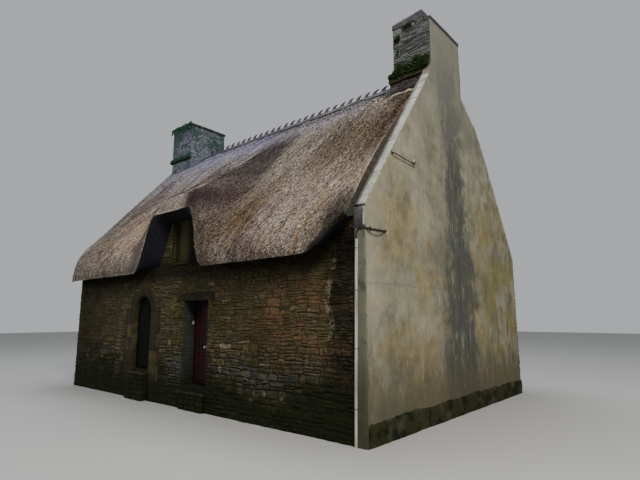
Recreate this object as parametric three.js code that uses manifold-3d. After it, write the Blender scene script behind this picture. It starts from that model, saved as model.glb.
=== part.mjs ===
// Thatched stone cottage with a rendered gable, two front doors and a loft door under a swept thatch hood.
// Millimetres. x runs along the street front (the gable end is at the right, +x), y runs into the house,
// z is up. Sizes below are measured from the front right corner of the walls, and the whole group is then
// moved so that the origin lies on the ground at the middle of the plan.
import * as THREE from "three";
import { mergeVertices } from "three/addons/utils/BufferGeometryUtils.js";
import Module from "manifold-3d";

const wasm = await Module();
wasm.setup();

// Driving dimensions
const GAP = 0.3; // joint between two pieces that touch
const CLEAR = 7; // running clearance round a door leaf
const HOUSE_LENGTH = 10340;
const HOUSE_DEPTH = 6950;
const WALL = 650; // thickness of the rubble walls
const RIDGE_Y = HOUSE_DEPTH / 2;
const FLOOR_TOP = 430;
const LOFT_FLOOR_TOP = 3000;
const LOFT_BOARD = 30;
const LOFT_SILL_Z = 3120;

// Thatch
const EAVE_OVERHANG = 360;
const EAVE_TIP_Z = 2970;
const EAVE_NOSE = 50; // how far the rounded nose stands out past the tip
const SOFFIT_Z = 3120; // underside where it leaves the outer face of the wall
const UNDER_SLOPE = 1.09;
const TOP_Z = 3920; // upper surface over the outer face of the wall
const TOP_SLOPE = 1.143;
const TOP_SLOPE_HIGH = 0.82; // it eases off above HIGH_Y
const HIGH_Y = 2580;
const VERGE_OVERHANG = 110;
const HOOD_RISE = 1330; // lift of the eave over the loft door
const HOOD_INNER_RISE = 1080; // lift of the underside there
const HOOD_SWELL = 1050; // lift of the upper surface there
const HOOD_REACH = 2600; // how far up the slope the swell runs
const CORNER_RISE = 550; // lift of the eave where it meets the gable parapet
const CORNER_LENGTH = 950;
const VERGE_ROLL = 210; // the thatch stands proud along the parapet

// Gable, its parapet and coping
const PARAPET = 185;
const COPING = 70;
const KNEELER_Z = 3765;
const CHIMNEY_CORNER_Z = 7260;
const BACK_KNEELER_Z = 3500;
const PLINTH_Z = 340;
const PLINTH_OUT = 35;

// Chimneys: x and y spans of the stacks
const RIGHT_STACK = { x: [-920, 0], y: [2590, 4050], foot: 6500, top: 8400 };
const RIGHT_FOOT_X = -1030;
const RIGHT_DRIP_Z = 7190;
const LEFT_STACK = { x: [-10170, -9060], y: [2690, 4070], foot: 6000, top: 8490 };
const LEFT_LEDGE_Z = 7300;
const LEDGE = 45;
const CAP = 80;
const FLUE_WALL = 250;
const FLUE_DEPTH = 600;

// Front door with its flat lintel, at the right
const DOOR = { x: [-4930, -4040], sill: 480, head: 2290, reveal: 300 };
const LINTEL = { x: [-5200, -3820], top: 2460, out: 25 };
const REBATE = 80; // behind its leaf's front a doorway is this much wider on each side
const LEAF = 45;

// Round-arched doorway of dressed stone, at the left
const ARCH = { centre: -6710, half: 385, spring: 2070, sill: 700, top: 2700, reveal: 100 };
const ARCH_STONE = { wide: 440, deep: 300 };

// Loft door under the hood
const LOFT_DOOR = { x: [-5520, -4800], back: 120, thick: 35 };
const LOFT_WALL = 400;

const group = new THREE.Group();
group.position.set(HOUSE_LENGTH / 2, -HOUSE_DEPTH / 2, 0);

const material = (color, roughness, metalness = 0) =>
  new THREE.MeshStandardMaterial({ color, roughness, metalness });
const rubble = material(0x6b5d48, 0.95);
const render = material(0x9a9079, 0.9);
const dressed = material(0x6f6a58, 0.85);
const slate = material(0x6d6a70, 0.7);
const thatch = material(0x77685a, 1.0);
const oldWood = material(0x5b5240, 0.9);
const doorPaint = material(0x4a1f22, 0.55);
const darkWood = material(0x2a2320, 0.8);
const earth = material(0x7a6f5f, 0.95);
const iron = material(0x1f1d1b, 0.6, 0.6);
const whitePlastic = material(0xe8e8e4, 0.5);
const nickel = material(0xcfcbc0, 0.25, 0.8);

// Solids
const solidOf = (geometry) => {
  const bare = new THREE.BufferGeometry();
  bare.setAttribute("position", geometry.getAttribute("position").clone());
  if (geometry.index) bare.setIndex(geometry.index.clone());
  const merged = mergeVertices(bare, 1e-3);
  return new wasm.Manifold(
    new wasm.Mesh({
      numProp: 3,
      vertProperties: Float32Array.from(merged.attributes.position.array),
      triVerts: Uint32Array.from(merged.index.array),
    }),
  );
};

const geometryOf = (solid) => {
  const mesh = solid.getMesh();
  const geometry = new THREE.BufferGeometry();
  geometry.setAttribute("position", new THREE.BufferAttribute(Float32Array.from(mesh.vertProperties), 3));
  geometry.setIndex(new THREE.BufferAttribute(Uint32Array.from(mesh.triVerts), 1));
  geometry.computeVertexNormals();
  return geometry;
};

const box = ([x0, x1], [y0, y1], [z0, z1]) => {
  const geometry = new THREE.BoxGeometry(x1 - x0, y1 - y0, z1 - z0);
  geometry.translate((x0 + x1) / 2, (y0 + y1) / 2, (z0 + z1) / 2);
  return solidOf(geometry);
};

const grown = (span, by = GAP) => [span[0] - by, span[1] + by];

// A flat outline pushed along one axis. Outline points are [y, z] for "x", [x, z] for "y", [x, y] for "z".
const prism = (along, points, from, to) => {
  const shape = new THREE.Shape(points.map(([a, b]) => new THREE.Vector2(a, b)));
  const geometry = new THREE.ExtrudeGeometry(shape, { depth: to - from, bevelEnabled: false });
  const frames = {
    x: [[0, 0, 1], [1, 0, 0], [0, 1, 0]],
    y: [[1, 0, 0], [0, 0, -1], [0, 1, 0]],
    z: [[1, 0, 0], [0, 1, 0], [0, 0, 1]],
  };
  const [ex, ey, ez] = frames[along];
  const turn = new THREE.Matrix4().set(...ex, 0, ...ey, 0, ...ez, 0, 0, 0, 0, 1);
  geometry.applyMatrix4(turn);
  const start = along === "y" ? to : from;
  geometry.translate(along === "x" ? start : 0, along === "y" ? start : 0, along === "z" ? start : 0);
  return solidOf(geometry);
};

// Rings of equal point count joined into one closed skin, from the lowest x to the highest
const loft = (given) => {
  const flat = (ring) => ring.map(([, y, z]) => new THREE.Vector2(y, z));
  const turned = THREE.ShapeUtils.isClockWise(flat(given[0]));
  const rings = turned ? given.map((ring) => [...ring].reverse()) : given;
  const count = rings[0].length;
  const index = [];
  for (let r = 0; r + 1 < rings.length; r += 1) {
    for (let i = 0; i < count; i += 1) {
      const a = r * count + i;
      const b = r * count + ((i + 1) % count);
      index.push(a, b, a + count, b, b + count, a + count);
    }
  }
  const lastRing = (rings.length - 1) * count;
  for (const [a, b, c] of THREE.ShapeUtils.triangulateShape(flat(rings[0]), [])) index.push(c, b, a);
  for (const [a, b, c] of THREE.ShapeUtils.triangulateShape(flat(rings[rings.length - 1]), [])) {
    index.push(lastRing + a, lastRing + b, lastRing + c);
  }
  const geometry = new THREE.BufferGeometry();
  geometry.setAttribute("position", new THREE.Float32BufferAttribute(rings.flat(2), 3));
  geometry.setIndex(index);
  return solidOf(geometry);
};

const add = (name, solid, look) => {
  const mesh = new THREE.Mesh(geometryOf(solid), look);
  mesh.name = name;
  group.add(mesh);
};

const ease = (t) => {
  const s = Math.min(1, Math.max(0, t));
  return s * s * (3 - 2 * s);
};
const between = (x, a, b, c, d) => ease((x - a) / (b - a)) * (1 - ease((x - c) / (d - c)));

// Thatch shape: how far the eave tip, the underside and the upper surface rise along the front
const tipLift = (x) => HOOD_RISE * between(x, -6620, -5800, -4400, -3850);
const underLift = (x) => HOOD_INNER_RISE * between(x, -6100, -5500, -4700, -4150);
const swellAt = (x) => HOOD_SWELL * between(x, -6950, -5650, -4550, -3500);
const cornerAt = (x) => ease((x + PARAPET + CORNER_LENGTH) / CORNER_LENGTH) ** 1.4;

const topBase = (y) => {
  if (y < 0) return TOP_Z + TOP_SLOPE * y - 0.0012 * y * y;
  if (y < HIGH_Y) return TOP_Z + TOP_SLOPE * y;
  return TOP_Z + TOP_SLOPE * HIGH_Y + TOP_SLOPE_HIGH * (y - HIGH_Y);
};
const upSlope = (y) => Math.max(0, (2300 - y) / HOOD_REACH) ** 1.3;
const rollAt = (x, y) => {
  const near = ease((x + PARAPET + 520) / 520);
  const along = Math.sin(Math.PI * Math.min(1, Math.max(0, y / HIGH_Y)));
  return VERGE_ROLL * near * along;
};

const TOP_STEPS = [-300, -150, 0, 250, 550, 900, 1300, 1750, 2200, HIGH_Y, 3000, RIDGE_Y - GAP / 2];
const UNDER_STEPS = [0, 220, 450, 700, 1000, 1500, 2200, RIDGE_Y - GAP / 2];

// One cross-section of a slope, as [y, z] from the ridge down the underside, round the eave and back up
const section = (x, hooded) => {
  const corner = cornerAt(x);
  const tip = EAVE_TIP_Z + (hooded ? tipLift(x) : 0) + CORNER_RISE * corner;
  const edge = -EAVE_OVERHANG + 160 * corner;
  const lift = (hooded ? underLift(x) : 0) + 0.82 * CORNER_RISE * corner;
  const under = [...UNDER_STEPS].reverse().map((y) => [y, Math.max(SOFFIT_Z + UNDER_SLOPE * y, SOFFIT_Z + lift)]);
  const top = TOP_STEPS.map((y) => {
    const stretched = y < 0 ? (y * -edge) / EAVE_OVERHANG : y;
    const swell = hooded ? swellAt(x) * upSlope(y) : 0;
    return [stretched, topBase(stretched) + swell + rollAt(x, y)];
  });
  const nose = [edge - EAVE_NOSE, tip + 120];
  const brow = [edge - 25, Math.min(tip + 290, top[0][1] - 40)];
  return { under, front: [[edge, tip], nose, brow], top };
};

const stationsBetween = (from, to, step) => {
  const list = [];
  const count = Math.max(1, Math.round((to - from) / step));
  for (let i = 0; i < count; i += 1) list.push(from + ((to - from) * i) / count);
  return list;
};
const LEFT_X = -HOUSE_LENGTH - VERGE_OVERHANG;
const RIGHT_X = -PARAPET - GAP;
const frontStations = [
  ...stationsBetween(LEFT_X, -6950, 900),
  ...stationsBetween(-6950, -5500, 110),
  ...stationsBetween(-5500, -4550, 360),
  ...stationsBetween(-4550, -3500, 105),
  ...stationsBetween(-3500, -1250, 900),
  ...stationsBetween(-1250, RIGHT_X, 120),
  RIGHT_X,
];
const backStations = [
  ...stationsBetween(LEFT_X, -1250, 1100),
  ...stationsBetween(-1250, RIGHT_X, 160),
  RIGHT_X,
];

const acrossBack = ([x, y, z]) => [x, HOUSE_DEPTH - y, z];
const slopeRings = (stations, hooded, outline) => {
  const rings = stations.map((x) => outline(section(x, hooded)).map(([y, z]) => [x, y, z]));
  return hooded ? rings : rings.map((ring) => ring.map(acrossBack).reverse());
};
const thatchOutline = ({ under, front, top }) => [...under, ...front, ...top];
const SKY = 12000;
// The room that the thatch and the sky above it take, which every wall head is cut to
const roomOutline = ({ under, front }) => [
  [RIDGE_Y + 5, under[0][1] - GAP],
  ...under.slice(1).map(([y, z]) => [y, z - GAP]),
  [front[0][0], front[0][1] - GAP],
  [front[0][0] - 400, front[0][1] - GAP],
  [front[0][0] - 400, SKY],
  [RIDGE_Y + 5, SKY],
];
const pastVerge = (stations) => [...stations.slice(0, -1), -PARAPET + 2];
const roofRoom = loft(slopeRings(pastVerge(frontStations), true, roomOutline)).add(
  loft(slopeRings(pastVerge(backStations), false, roomOutline)),
);

// Stacks
const stackBox = (stack, foot, top, by = 0) => box(grown(stack.x, by), grown(stack.y, by), [foot, top]);
const flue = (stack, by) => box(
  [stack.x[0] + FLUE_WALL - by, stack.x[1] - FLUE_WALL + by],
  [stack.y[0] + FLUE_WALL - by, stack.y[1] - FLUE_WALL + by],
  [stack.top - FLUE_DEPTH, stack.top + 2 * CAP],
);
const rightFoot = { x: [RIGHT_FOOT_X, 0], y: RIGHT_STACK.y };
const chimneyRoom = stackBox(rightFoot, 0, RIGHT_DRIP_Z + LEDGE, GAP)
  .add(stackBox(RIGHT_STACK, 0, SKY, GAP))
  .add(stackBox(LEFT_STACK, 0, SKY, GAP));

// Roof
const slope = (stations, hooded) => loft(slopeRings(stations, hooded, thatchOutline)).subtract(chimneyRoom);
add("thatch_front", slope(frontStations, true), thatch);
add("thatch_back", slope(backStations, false), thatch);

const ridgeTop = topBase(RIDGE_Y);
const RIDGE_BAND = 300;
const RIDGE_THICK = 30;
const ridgeOutline = () => {
  const drop = RIDGE_BAND * TOP_SLOPE_HIGH;
  return [
    [RIDGE_Y, ridgeTop + GAP],
    [RIDGE_Y + RIDGE_BAND, ridgeTop - drop + GAP],
    [RIDGE_Y + RIDGE_BAND, ridgeTop - drop + RIDGE_THICK],
    [RIDGE_Y, ridgeTop + RIDGE_THICK],
    [RIDGE_Y - RIDGE_BAND, ridgeTop - drop + RIDGE_THICK],
    [RIDGE_Y - RIDGE_BAND, ridgeTop - drop + GAP],
  ];
};
add("ridge_slates", prism("x", ridgeOutline(), LEFT_STACK.x[1] + GAP, RIGHT_FOOT_X - GAP), slate);
add("ridge_slates_end", prism("x", ridgeOutline(), LEFT_X, LEFT_STACK.x[0] - GAP), slate);

// Loft floor on its beams, carried by the long walls
const BEAM_XS = [-8600, -5730, -2300];
const BEAM = { wide: 200, high: 220, bearing: 220 };
const beamTop = LOFT_FLOOR_TOP - LOFT_BOARD - GAP;
const beamBox = (x, by) => box(
  [x - BEAM.wide / 2 - by, x + BEAM.wide / 2 + by],
  [WALL - BEAM.bearing - by, HOUSE_DEPTH - WALL + BEAM.bearing + by],
  [beamTop - BEAM.high - by, beamTop + by],
);
BEAM_XS.forEach((x, i) => add(`loft_beam_${i + 1}`, beamBox(x, 0), oldWood));
const beamPockets = BEAM_XS.map((x) => beamBox(x, GAP)).reduce((all, one) => all.add(one));

const breast = (stack, inner, foot) => box(inner, stack.y, [foot, stack.foot - GAP]);
const rightBreast = breast(RIGHT_STACK, [RIGHT_FOOT_X, -WALL + 1], FLOOR_TOP + GAP);
const leftBreast = breast(LEFT_STACK, [-HOUSE_LENGTH + WALL - 1, LEFT_STACK.x[1]], FLOOR_TOP + GAP);
const breastRoom = box([RIGHT_FOOT_X - GAP, 0], grown(RIGHT_STACK.y), [FLOOR_TOP, SKY]).add(
  box([-HOUSE_LENGTH, LEFT_STACK.x[1] + GAP], grown(LEFT_STACK.y), [FLOOR_TOP, SKY]),
);
const insideX = [-HOUSE_LENGTH + WALL + GAP, -WALL - GAP];
const insideY = [WALL + GAP, HOUSE_DEPTH - WALL - GAP];
add("ground_floor", box(insideX, insideY, [0, FLOOR_TOP]), earth);
add(
  "loft_floor",
  box(insideX, insideY, [LOFT_FLOOR_TOP - LOFT_BOARD, LOFT_FLOOR_TOP]).subtract(breastRoom),
  oldWood,
);

// Street wall, split beside and over its two doorways
const wallSpan = [0, WALL];
const gableFront = -WALL; // the gable wall's end shows in the front from here to the corner
const underThatch = (solid) => solid.subtract(roofRoom).subtract(beamPockets);
const HEAD = 5200;
const archLeft = ARCH.centre - ARCH.half - ARCH_STONE.wide;
const archRight = ARCH.centre + ARCH.half + ARCH_STONE.wide;

add("front_wall_left", underThatch(box([-HOUSE_LENGTH + WALL + GAP, archLeft - GAP], wallSpan, [0, HEAD])), rubble);

const betweenDoors = box([archRight + GAP, DOOR.x[0]], wallSpan, [0, DOOR.head - GAP]).subtract(
  box([DOOR.x[0] - REBATE, DOOR.x[0] + 1], [DOOR.reveal, WALL + 1], [-1, HEAD]),
);
add("front_wall_between_doors", betweenDoors, rubble);

const rightOfDoor = prism(
  "y",
  [
    [DOOR.x[1], 0],
    [gableFront - GAP, 0],
    [gableFront - GAP, HEAD],
    [LINTEL.x[1] + GAP, HEAD],
    [LINTEL.x[1] + GAP, DOOR.head - GAP],
    [DOOR.x[1], DOOR.head - GAP],
  ],
  0,
  WALL,
).subtract(box([DOOR.x[1] - 1, DOOR.x[1] + REBATE], [DOOR.reveal, WALL + 1], [-1, DOOR.head]));
add("front_wall_right", underThatch(rightOfDoor), rubble);

const HOOD_WALL_X = [-6600, -3990];
const overDoors = prism(
  "y",
  [
    [archLeft, ARCH.top + GAP],
    [archRight, ARCH.top + GAP],
    [archRight, DOOR.head],
    [LINTEL.x[0] - GAP, DOOR.head],
    [LINTEL.x[0] - GAP, LINTEL.top + GAP],
    [LINTEL.x[1], LINTEL.top + GAP],
    [LINTEL.x[1], HEAD],
    [archLeft, HEAD],
  ],
  0,
  WALL,
).subtract(box(HOOD_WALL_X, [-1, WALL + 1], [LOFT_SILL_Z, HEAD + 1]));
add("front_wall_over_doors", underThatch(overDoors), rubble);

const loftWallZ = [LOFT_SILL_Z + GAP, HEAD];
const loftWallY = [0, LOFT_WALL];
add("loft_wall_left", underThatch(box([HOOD_WALL_X[0] + GAP, LOFT_DOOR.x[0]], loftWallY, loftWallZ)), rubble);
add("loft_wall_right", underThatch(box([LOFT_DOOR.x[1], HOOD_WALL_X[1] - GAP], loftWallY, loftWallZ)), rubble);
const SILL_SLAB = { thick: 45, out: 40 };
add(
  "loft_sill",
  box([LOFT_DOOR.x[0] + GAP, LOFT_DOOR.x[1] - GAP], [-SILL_SLAB.out, LOFT_WALL], [
    LOFT_SILL_Z + GAP, LOFT_SILL_Z + SILL_SLAB.thick,
  ]),
  dressed,
);
add(
  "loft_door",
  underThatch(
    box(
      [LOFT_DOOR.x[0] + GAP, LOFT_DOOR.x[1] - GAP],
      [LOFT_DOOR.back, LOFT_DOOR.back + LOFT_DOOR.thick],
      [LOFT_SILL_Z + SILL_SLAB.thick + GAP, HEAD],
    ),
  ),
  oldWood,
);

// Back wall and the plain party wall at the left end
add(
  "back_wall",
  underThatch(box([-HOUSE_LENGTH + WALL + GAP, gableFront - GAP], [HOUSE_DEPTH - WALL, HOUSE_DEPTH], [0, HEAD])),
  rubble,
);
const partyWall = box([-HOUSE_LENGTH, -HOUSE_LENGTH + WALL], [0, HOUSE_DEPTH], [0, LEFT_STACK.foot + 1500])
  .subtract(stackBox(LEFT_STACK, LEFT_STACK.foot - GAP, SKY, GAP))
  .subtract(roofRoom)
  .add(leftBreast);
add("party_wall_left", partyWall, rubble);

// Gable wall with its narrow parapet, cut for the chimney that stands on it
const frontRake = (y) => KNEELER_Z + ((CHIMNEY_CORNER_Z - KNEELER_Z) * y) / RIGHT_STACK.y[0];
const backRake = [
  [RIGHT_STACK.y[1], 7100],
  [4850, 6530],
  [5300, 5970],
  [HOUSE_DEPTH, BACK_KNEELER_Z],
];
const parapet = prism(
  "x",
  [
    [0, 0],
    [HOUSE_DEPTH, 0],
    ...[...backRake].reverse().map(([y, z]) => [y, z - COPING - GAP]),
    [RIGHT_STACK.y[1], RIGHT_STACK.foot - GAP],
    [RIGHT_STACK.y[0], RIGHT_STACK.foot - GAP],
    [RIGHT_STACK.y[0] - GAP, frontRake(RIGHT_STACK.y[0]) - COPING - GAP],
    [0, frontRake(0) - COPING - GAP],
  ],
  -PARAPET,
  0,
);
const gableInner = box([-WALL, -PARAPET], [0, HOUSE_DEPTH], [0, RIGHT_STACK.foot + 600])
  .subtract(stackBox(rightFoot, RIGHT_STACK.foot - GAP, SKY, GAP))
  .subtract(roofRoom);
add("gable_wall_right", parapet.add(gableInner).add(rightBreast), render);
add(
  "gable_plinth",
  box([GAP, PLINTH_OUT], [0, HOUSE_DEPTH], [0, PLINTH_Z]),
  rubble,
);

const slab = (points, thick) => [...points, ...[...points].reverse().map(([y, z]) => [y, z - thick])];
add(
  "coping_front",
  prism("x", slab([[-15, frontRake(-15)], [RIGHT_STACK.y[0] - GAP, frontRake(RIGHT_STACK.y[0])]], COPING), -PARAPET, 12),
  dressed,
);
const backEnd = backRake[backRake.length - 1];
add(
  "coping_back",
  prism(
    "x",
    slab([[RIGHT_STACK.y[1] + GAP, backRake[0][1]], ...backRake.slice(1, -1), backEnd], COPING),
    -PARAPET,
    12,
  ),
  dressed,
);

// Chimneys
add(
  "chimney_right_foot",
  stackBox(rightFoot, RIGHT_STACK.foot, RIGHT_DRIP_Z).add(
    box([-PARAPET, 0], RIGHT_STACK.y, [RIGHT_STACK.foot, RIGHT_DRIP_Z + LEDGE]),
  ),
  rubble,
);
add(
  "chimney_right_drip",
  box([RIGHT_FOOT_X, -PARAPET - GAP], [RIGHT_STACK.y[0] - 60, RIGHT_STACK.y[1]], [
    RIGHT_DRIP_Z + GAP, RIGHT_DRIP_Z + LEDGE,
  ]),
  slate,
);
add(
  "chimney_right_stack",
  stackBox(RIGHT_STACK, RIGHT_DRIP_Z + LEDGE + GAP, RIGHT_STACK.top).subtract(flue(RIGHT_STACK, 0)),
  rubble,
);
const cap = (stack, out) => box(
  grown(stack.x, out),
  grown(stack.y, out),
  [stack.top + GAP, stack.top + CAP],
).subtract(flue(stack, 0));
const FRONT_SLAB = { x: [-945, -90], y: [2565, 2830], thick: 150, slope: 140 }; // its right end falls away
const frontSlabZ = RIGHT_STACK.top + CAP;
const frontSlab = prism(
  "y",
  [
    [FRONT_SLAB.x[0], frontSlabZ - 1],
    [FRONT_SLAB.x[1], frontSlabZ - 1],
    [FRONT_SLAB.x[1], frontSlabZ + 40],
    [FRONT_SLAB.x[1] - FRONT_SLAB.slope, frontSlabZ + FRONT_SLAB.thick],
    [FRONT_SLAB.x[0], frontSlabZ + FRONT_SLAB.thick],
  ],
  ...FRONT_SLAB.y,
);
add("chimney_right_cap", cap(RIGHT_STACK, 20).add(frontSlab), slate);
add(
  "chimney_left_stack",
  stackBox(LEFT_STACK, LEFT_STACK.foot, LEFT_STACK.top).subtract(flue(LEFT_STACK, 0)),
  rubble,
);
add(
  "chimney_left_ledge",
  box(grown(LEFT_STACK.x, 60), [LEFT_STACK.y[0] - 60, LEFT_STACK.y[0] - GAP], [
    LEFT_LEDGE_Z, LEFT_LEDGE_Z + LEDGE,
  ]),
  slate,
);
add("chimney_left_cap", cap(LEFT_STACK, 40), slate);

// Front door: stone lintel, threshold and doorstep
const STEP = { x: [-4910, -4020], out: 100, top: 375 };
add(
  "door_lintel",
  box(LINTEL.x, [-LINTEL.out, WALL], [DOOR.head, LINTEL.top]),
  dressed,
);
const threshold = ([x0, x1], { reveal, sill }) => box([x0 + GAP, x1 - GAP], [0, reveal + 1], [0, sill]).add(
  box([x0 - REBATE + GAP, x1 + REBATE - GAP], [reveal + GAP, WALL], [0, sill]),
);
add("door_threshold", threshold(DOOR.x, DOOR), dressed);
add("doorstep", box(STEP.x, [-STEP.out, -GAP], [0, STEP.top]), dressed);

// Arched doorway
const jamb = (inner, outer) => {
  const side = Math.sign(outer - inner);
  return prism(
    "z",
    [
      [outer, 0],
      [inner, 0],
      [inner, ARCH.reveal],
      [inner + side * REBATE, ARCH.reveal],
      [inner + side * REBATE, WALL],
      [outer, WALL],
    ],
    0,
    ARCH.spring,
  );
};
add("arch_jamb_left", jamb(ARCH.centre - ARCH.half, archLeft), dressed);
add("arch_jamb_right", jamb(ARCH.centre + ARCH.half, archRight), dressed);

const ARCH_STEPS = 18;
const archHead = [
  [archLeft, ARCH.spring + GAP],
  [archLeft, ARCH.top],
  [archRight, ARCH.top],
  [archRight, ARCH.spring + GAP],
];
for (let i = 0; i <= ARCH_STEPS; i += 1) {
  const turn = (Math.PI * i) / ARCH_STEPS;
  archHead.push([
    ARCH.centre + ARCH.half * Math.cos(turn),
    ARCH.spring + GAP + ARCH.half * Math.sin(turn),
  ]);
}
const innerLintelZ = ARCH.spring + ARCH.half + 75;
const rebateOutline = [
  [archLeft, ARCH.spring + GAP],
  [ARCH.centre - ARCH.half - REBATE, ARCH.spring + GAP],
  [ARCH.centre - ARCH.half - REBATE, innerLintelZ],
  [ARCH.centre + ARCH.half + REBATE, innerLintelZ],
  [ARCH.centre + ARCH.half + REBATE, ARCH.spring + GAP],
  [archRight, ARCH.spring + GAP],
  [archRight, ARCH.top],
  [archLeft, ARCH.top],
];
const rebatedHead = prism("y", archHead, 0, ARCH.reveal).add(
  prism("y", rebateOutline, ARCH.reveal, ARCH_STONE.deep),
);
add("arch_head", rebatedHead, dressed);
add("arch_inner_lintel", prism("y", rebateOutline, ARCH_STONE.deep + GAP, WALL), oldWood);
add("arch_threshold", threshold([ARCH.centre - ARCH.half, ARCH.centre + ARCH.half], ARCH), dressed);
const ARCH_STEP = { x: [-7110, -6300], out: 170, top: 640 };
add("arch_step", box(ARCH_STEP.x, [-ARCH_STEP.out, -GAP], [0, ARCH_STEP.top]), dressed);

// Hinges: a pin on a plate against the reveal, and a knuckle on the leaf that turns round it
const PIN = { radius: 9, gap: 0.4, sides: 16, high: 90, offset: 14 };
const cylinder = (radius, x, y, z0, z1) => {
  const geometry = new THREE.CylinderGeometry(radius, radius, z1 - z0, PIN.sides);
  geometry.rotateX(Math.PI / 2);
  geometry.translate(x, y, (z0 + z1) / 2);
  return solidOf(geometry);
};
const hungDoor = (name, look, { hinge, width, sill, head, reveal }) => {
  const leafY = [reveal + CLEAR, reveal + CLEAR + LEAF];
  const axisY = leafY[1] + PIN.offset;
  const reach = PIN.radius + PIN.gap + 7;
  const bore = (PIN.radius + PIN.gap) / Math.cos(Math.PI / PIN.sides);
  const bottom = sill + CLEAR + 3;
  const top = head - CLEAR;
  let leaf = box([hinge + PIN.offset + 6, hinge + width], leafY, [bottom, top]);
  const levels = [bottom + 220, top - 300];
  levels.forEach((z, i) => {
    const strap = box([hinge, hinge + 520], [leafY[1] - 1, leafY[1] + 6], [z, z + PIN.high / 2]);
    const knuckle = cylinder(reach, hinge, axisY, z, z + PIN.high / 2);
    const hole = cylinder(bore, hinge, axisY, z - 5, z + PIN.high);
    leaf = leaf.add(strap).add(knuckle).subtract(hole);
    const pin = cylinder(PIN.radius, hinge, axisY, z - 40, z + PIN.high / 2 + 8);
    const arm = box([hinge - 30 + GAP, hinge + 4], [axisY - 6, axisY + 6], [z - 45, z - GAP]);
    const plate = box([hinge - 30 + GAP, hinge - 24], [axisY - 20, axisY + 90], [z - 60, z + 60]);
    add(`${name}_pintle_${i + 1}`, pin.add(arm).add(plate), iron);
  });
  add(name, leaf, look);
  return { axisY, levels };
};
hungDoor("front_door", doorPaint, {
  hinge: DOOR.x[0] - REBATE + 30,
  width: DOOR.x[1] - DOOR.x[0] + 2 * REBATE - 60,
  sill: DOOR.sill,
  head: DOOR.head,
  reveal: DOOR.reveal,
});
hungDoor("arched_door", darkWood, {
  hinge: ARCH.centre - ARCH.half - REBATE + 30,
  width: 2 * ARCH.half + 2 * REBATE - 60,
  sill: ARCH.sill,
  head: innerLintelZ,
  reveal: ARCH.reveal,
});

// Knob on its plate in the middle of the front door, and the bell push on the left reveal
const tapered = (fromRadius, toRadius, x, [y0, y1], z) => {
  const geometry = new THREE.CylinderGeometry(toRadius, fromRadius, y1 - y0, PIN.sides);
  geometry.translate(x, (y0 + y1) / 2, z);
  return solidOf(geometry);
};
const KNOB = { x: (DOOR.x[0] + DOOR.x[1]) / 2, z: 1285, radius: 30, neck: 12 };
const PLATE = { wide: 64, high: 150, thick: 6 };
const leafFace = DOOR.reveal + CLEAR - GAP;
const knobBack = leafFace - PLATE.thick;
const knobPlate = box(
  [KNOB.x - PLATE.wide / 2, KNOB.x + PLATE.wide / 2],
  [knobBack, leafFace],
  [KNOB.z - PLATE.high + PLATE.wide / 2, KNOB.z + PLATE.wide / 2],
);
const knob = tapered(KNOB.neck, KNOB.neck, KNOB.x, [knobBack - 26, knobBack], KNOB.z)
  .add(tapered(KNOB.radius, KNOB.neck + 4, KNOB.x, [knobBack - 40, knobBack - 22], KNOB.z))
  .add(tapered(KNOB.neck + 6, KNOB.radius, KNOB.x, [knobBack - 52, knobBack - 40], KNOB.z));
add("front_door_knob", knobPlate.add(knob), nickel);
add("front_door_bell_push", box([DOOR.x[0] + GAP, DOOR.x[0] + 18], [235, 275], [1775, 1845]), whitePlastic);

// White cable guard up the corner, a little out of plumb, and the two old iron brackets
const GUARD = { x: -137, footX: -190, radius: 27, top: 3170 };
const guard = new THREE.CylinderGeometry(GUARD.radius, GUARD.radius, GUARD.top, PIN.sides);
guard.rotateX(Math.PI / 2);
guard.translate(GUARD.footX, -GUARD.radius - GAP, GUARD.top / 2);
guard.applyMatrix4(new THREE.Matrix4().makeShear(0, 0, 0, 0, (GUARD.x - GUARD.footX) / GUARD.top, 0));
add("corner_cable_guard", solidOf(guard), whitePlastic);

const rod = (points, radius, steps) => {
  const path = new THREE.CatmullRomCurve3(points.map((p) => new THREE.Vector3(...p)), false, "catmullrom", 0);
  const ring = new THREE.Shape();
  ring.absarc(0, 0, radius, 0, Math.PI * 2);
  const geometry = new THREE.ExtrudeGeometry(ring, {
    steps,
    curveSegments: 4,
    bevelEnabled: false,
    extrudePath: path,
  });
  return solidOf(geometry);
};
const ROD = 9;
const THICK_ROD = 14;
add(
  "lower_iron_bracket",
  rod(
    [
      [GUARD.x, -GUARD.radius, GUARD.top + GAP],
      [GUARD.x, -GUARD.radius, GUARD.top + 90],
      [GUARD.x + 35, -GUARD.radius, GUARD.top + 150],
      [-30, -GUARD.radius, GUARD.top + 160],
      [THICK_ROD + 4, -10, GUARD.top + 165],
      [THICK_ROD + 3, 100, GUARD.top + 170],
      [THICK_ROD + 3, 575, GUARD.top + 190],
    ],
    THICK_ROD,
    30,
  ),
  iron,
);
add(
  "upper_iron_bracket",
  rod(
    [
      [GAP, 885, 4828],
      [ROD + 26, 885, 4828],
      [ROD + 36, 910, 4827],
      [ROD + 36, 1600, 4800],
      [ROD + 36, 1645, 4805],
      [ROD + 36, 1650, 4860],
    ],
    ROD,
    18,
  ),
  iron,
);

export default group;
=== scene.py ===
"""The looks of a thatched stone cottage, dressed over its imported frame.

Sizes are metres, measured as in the part: x along the street front from the front right corner of the
walls (so the house lies at negative x), y into the house, z up. CORNER moves them into the frame.
"""

import functools
import itertools
import math

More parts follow.
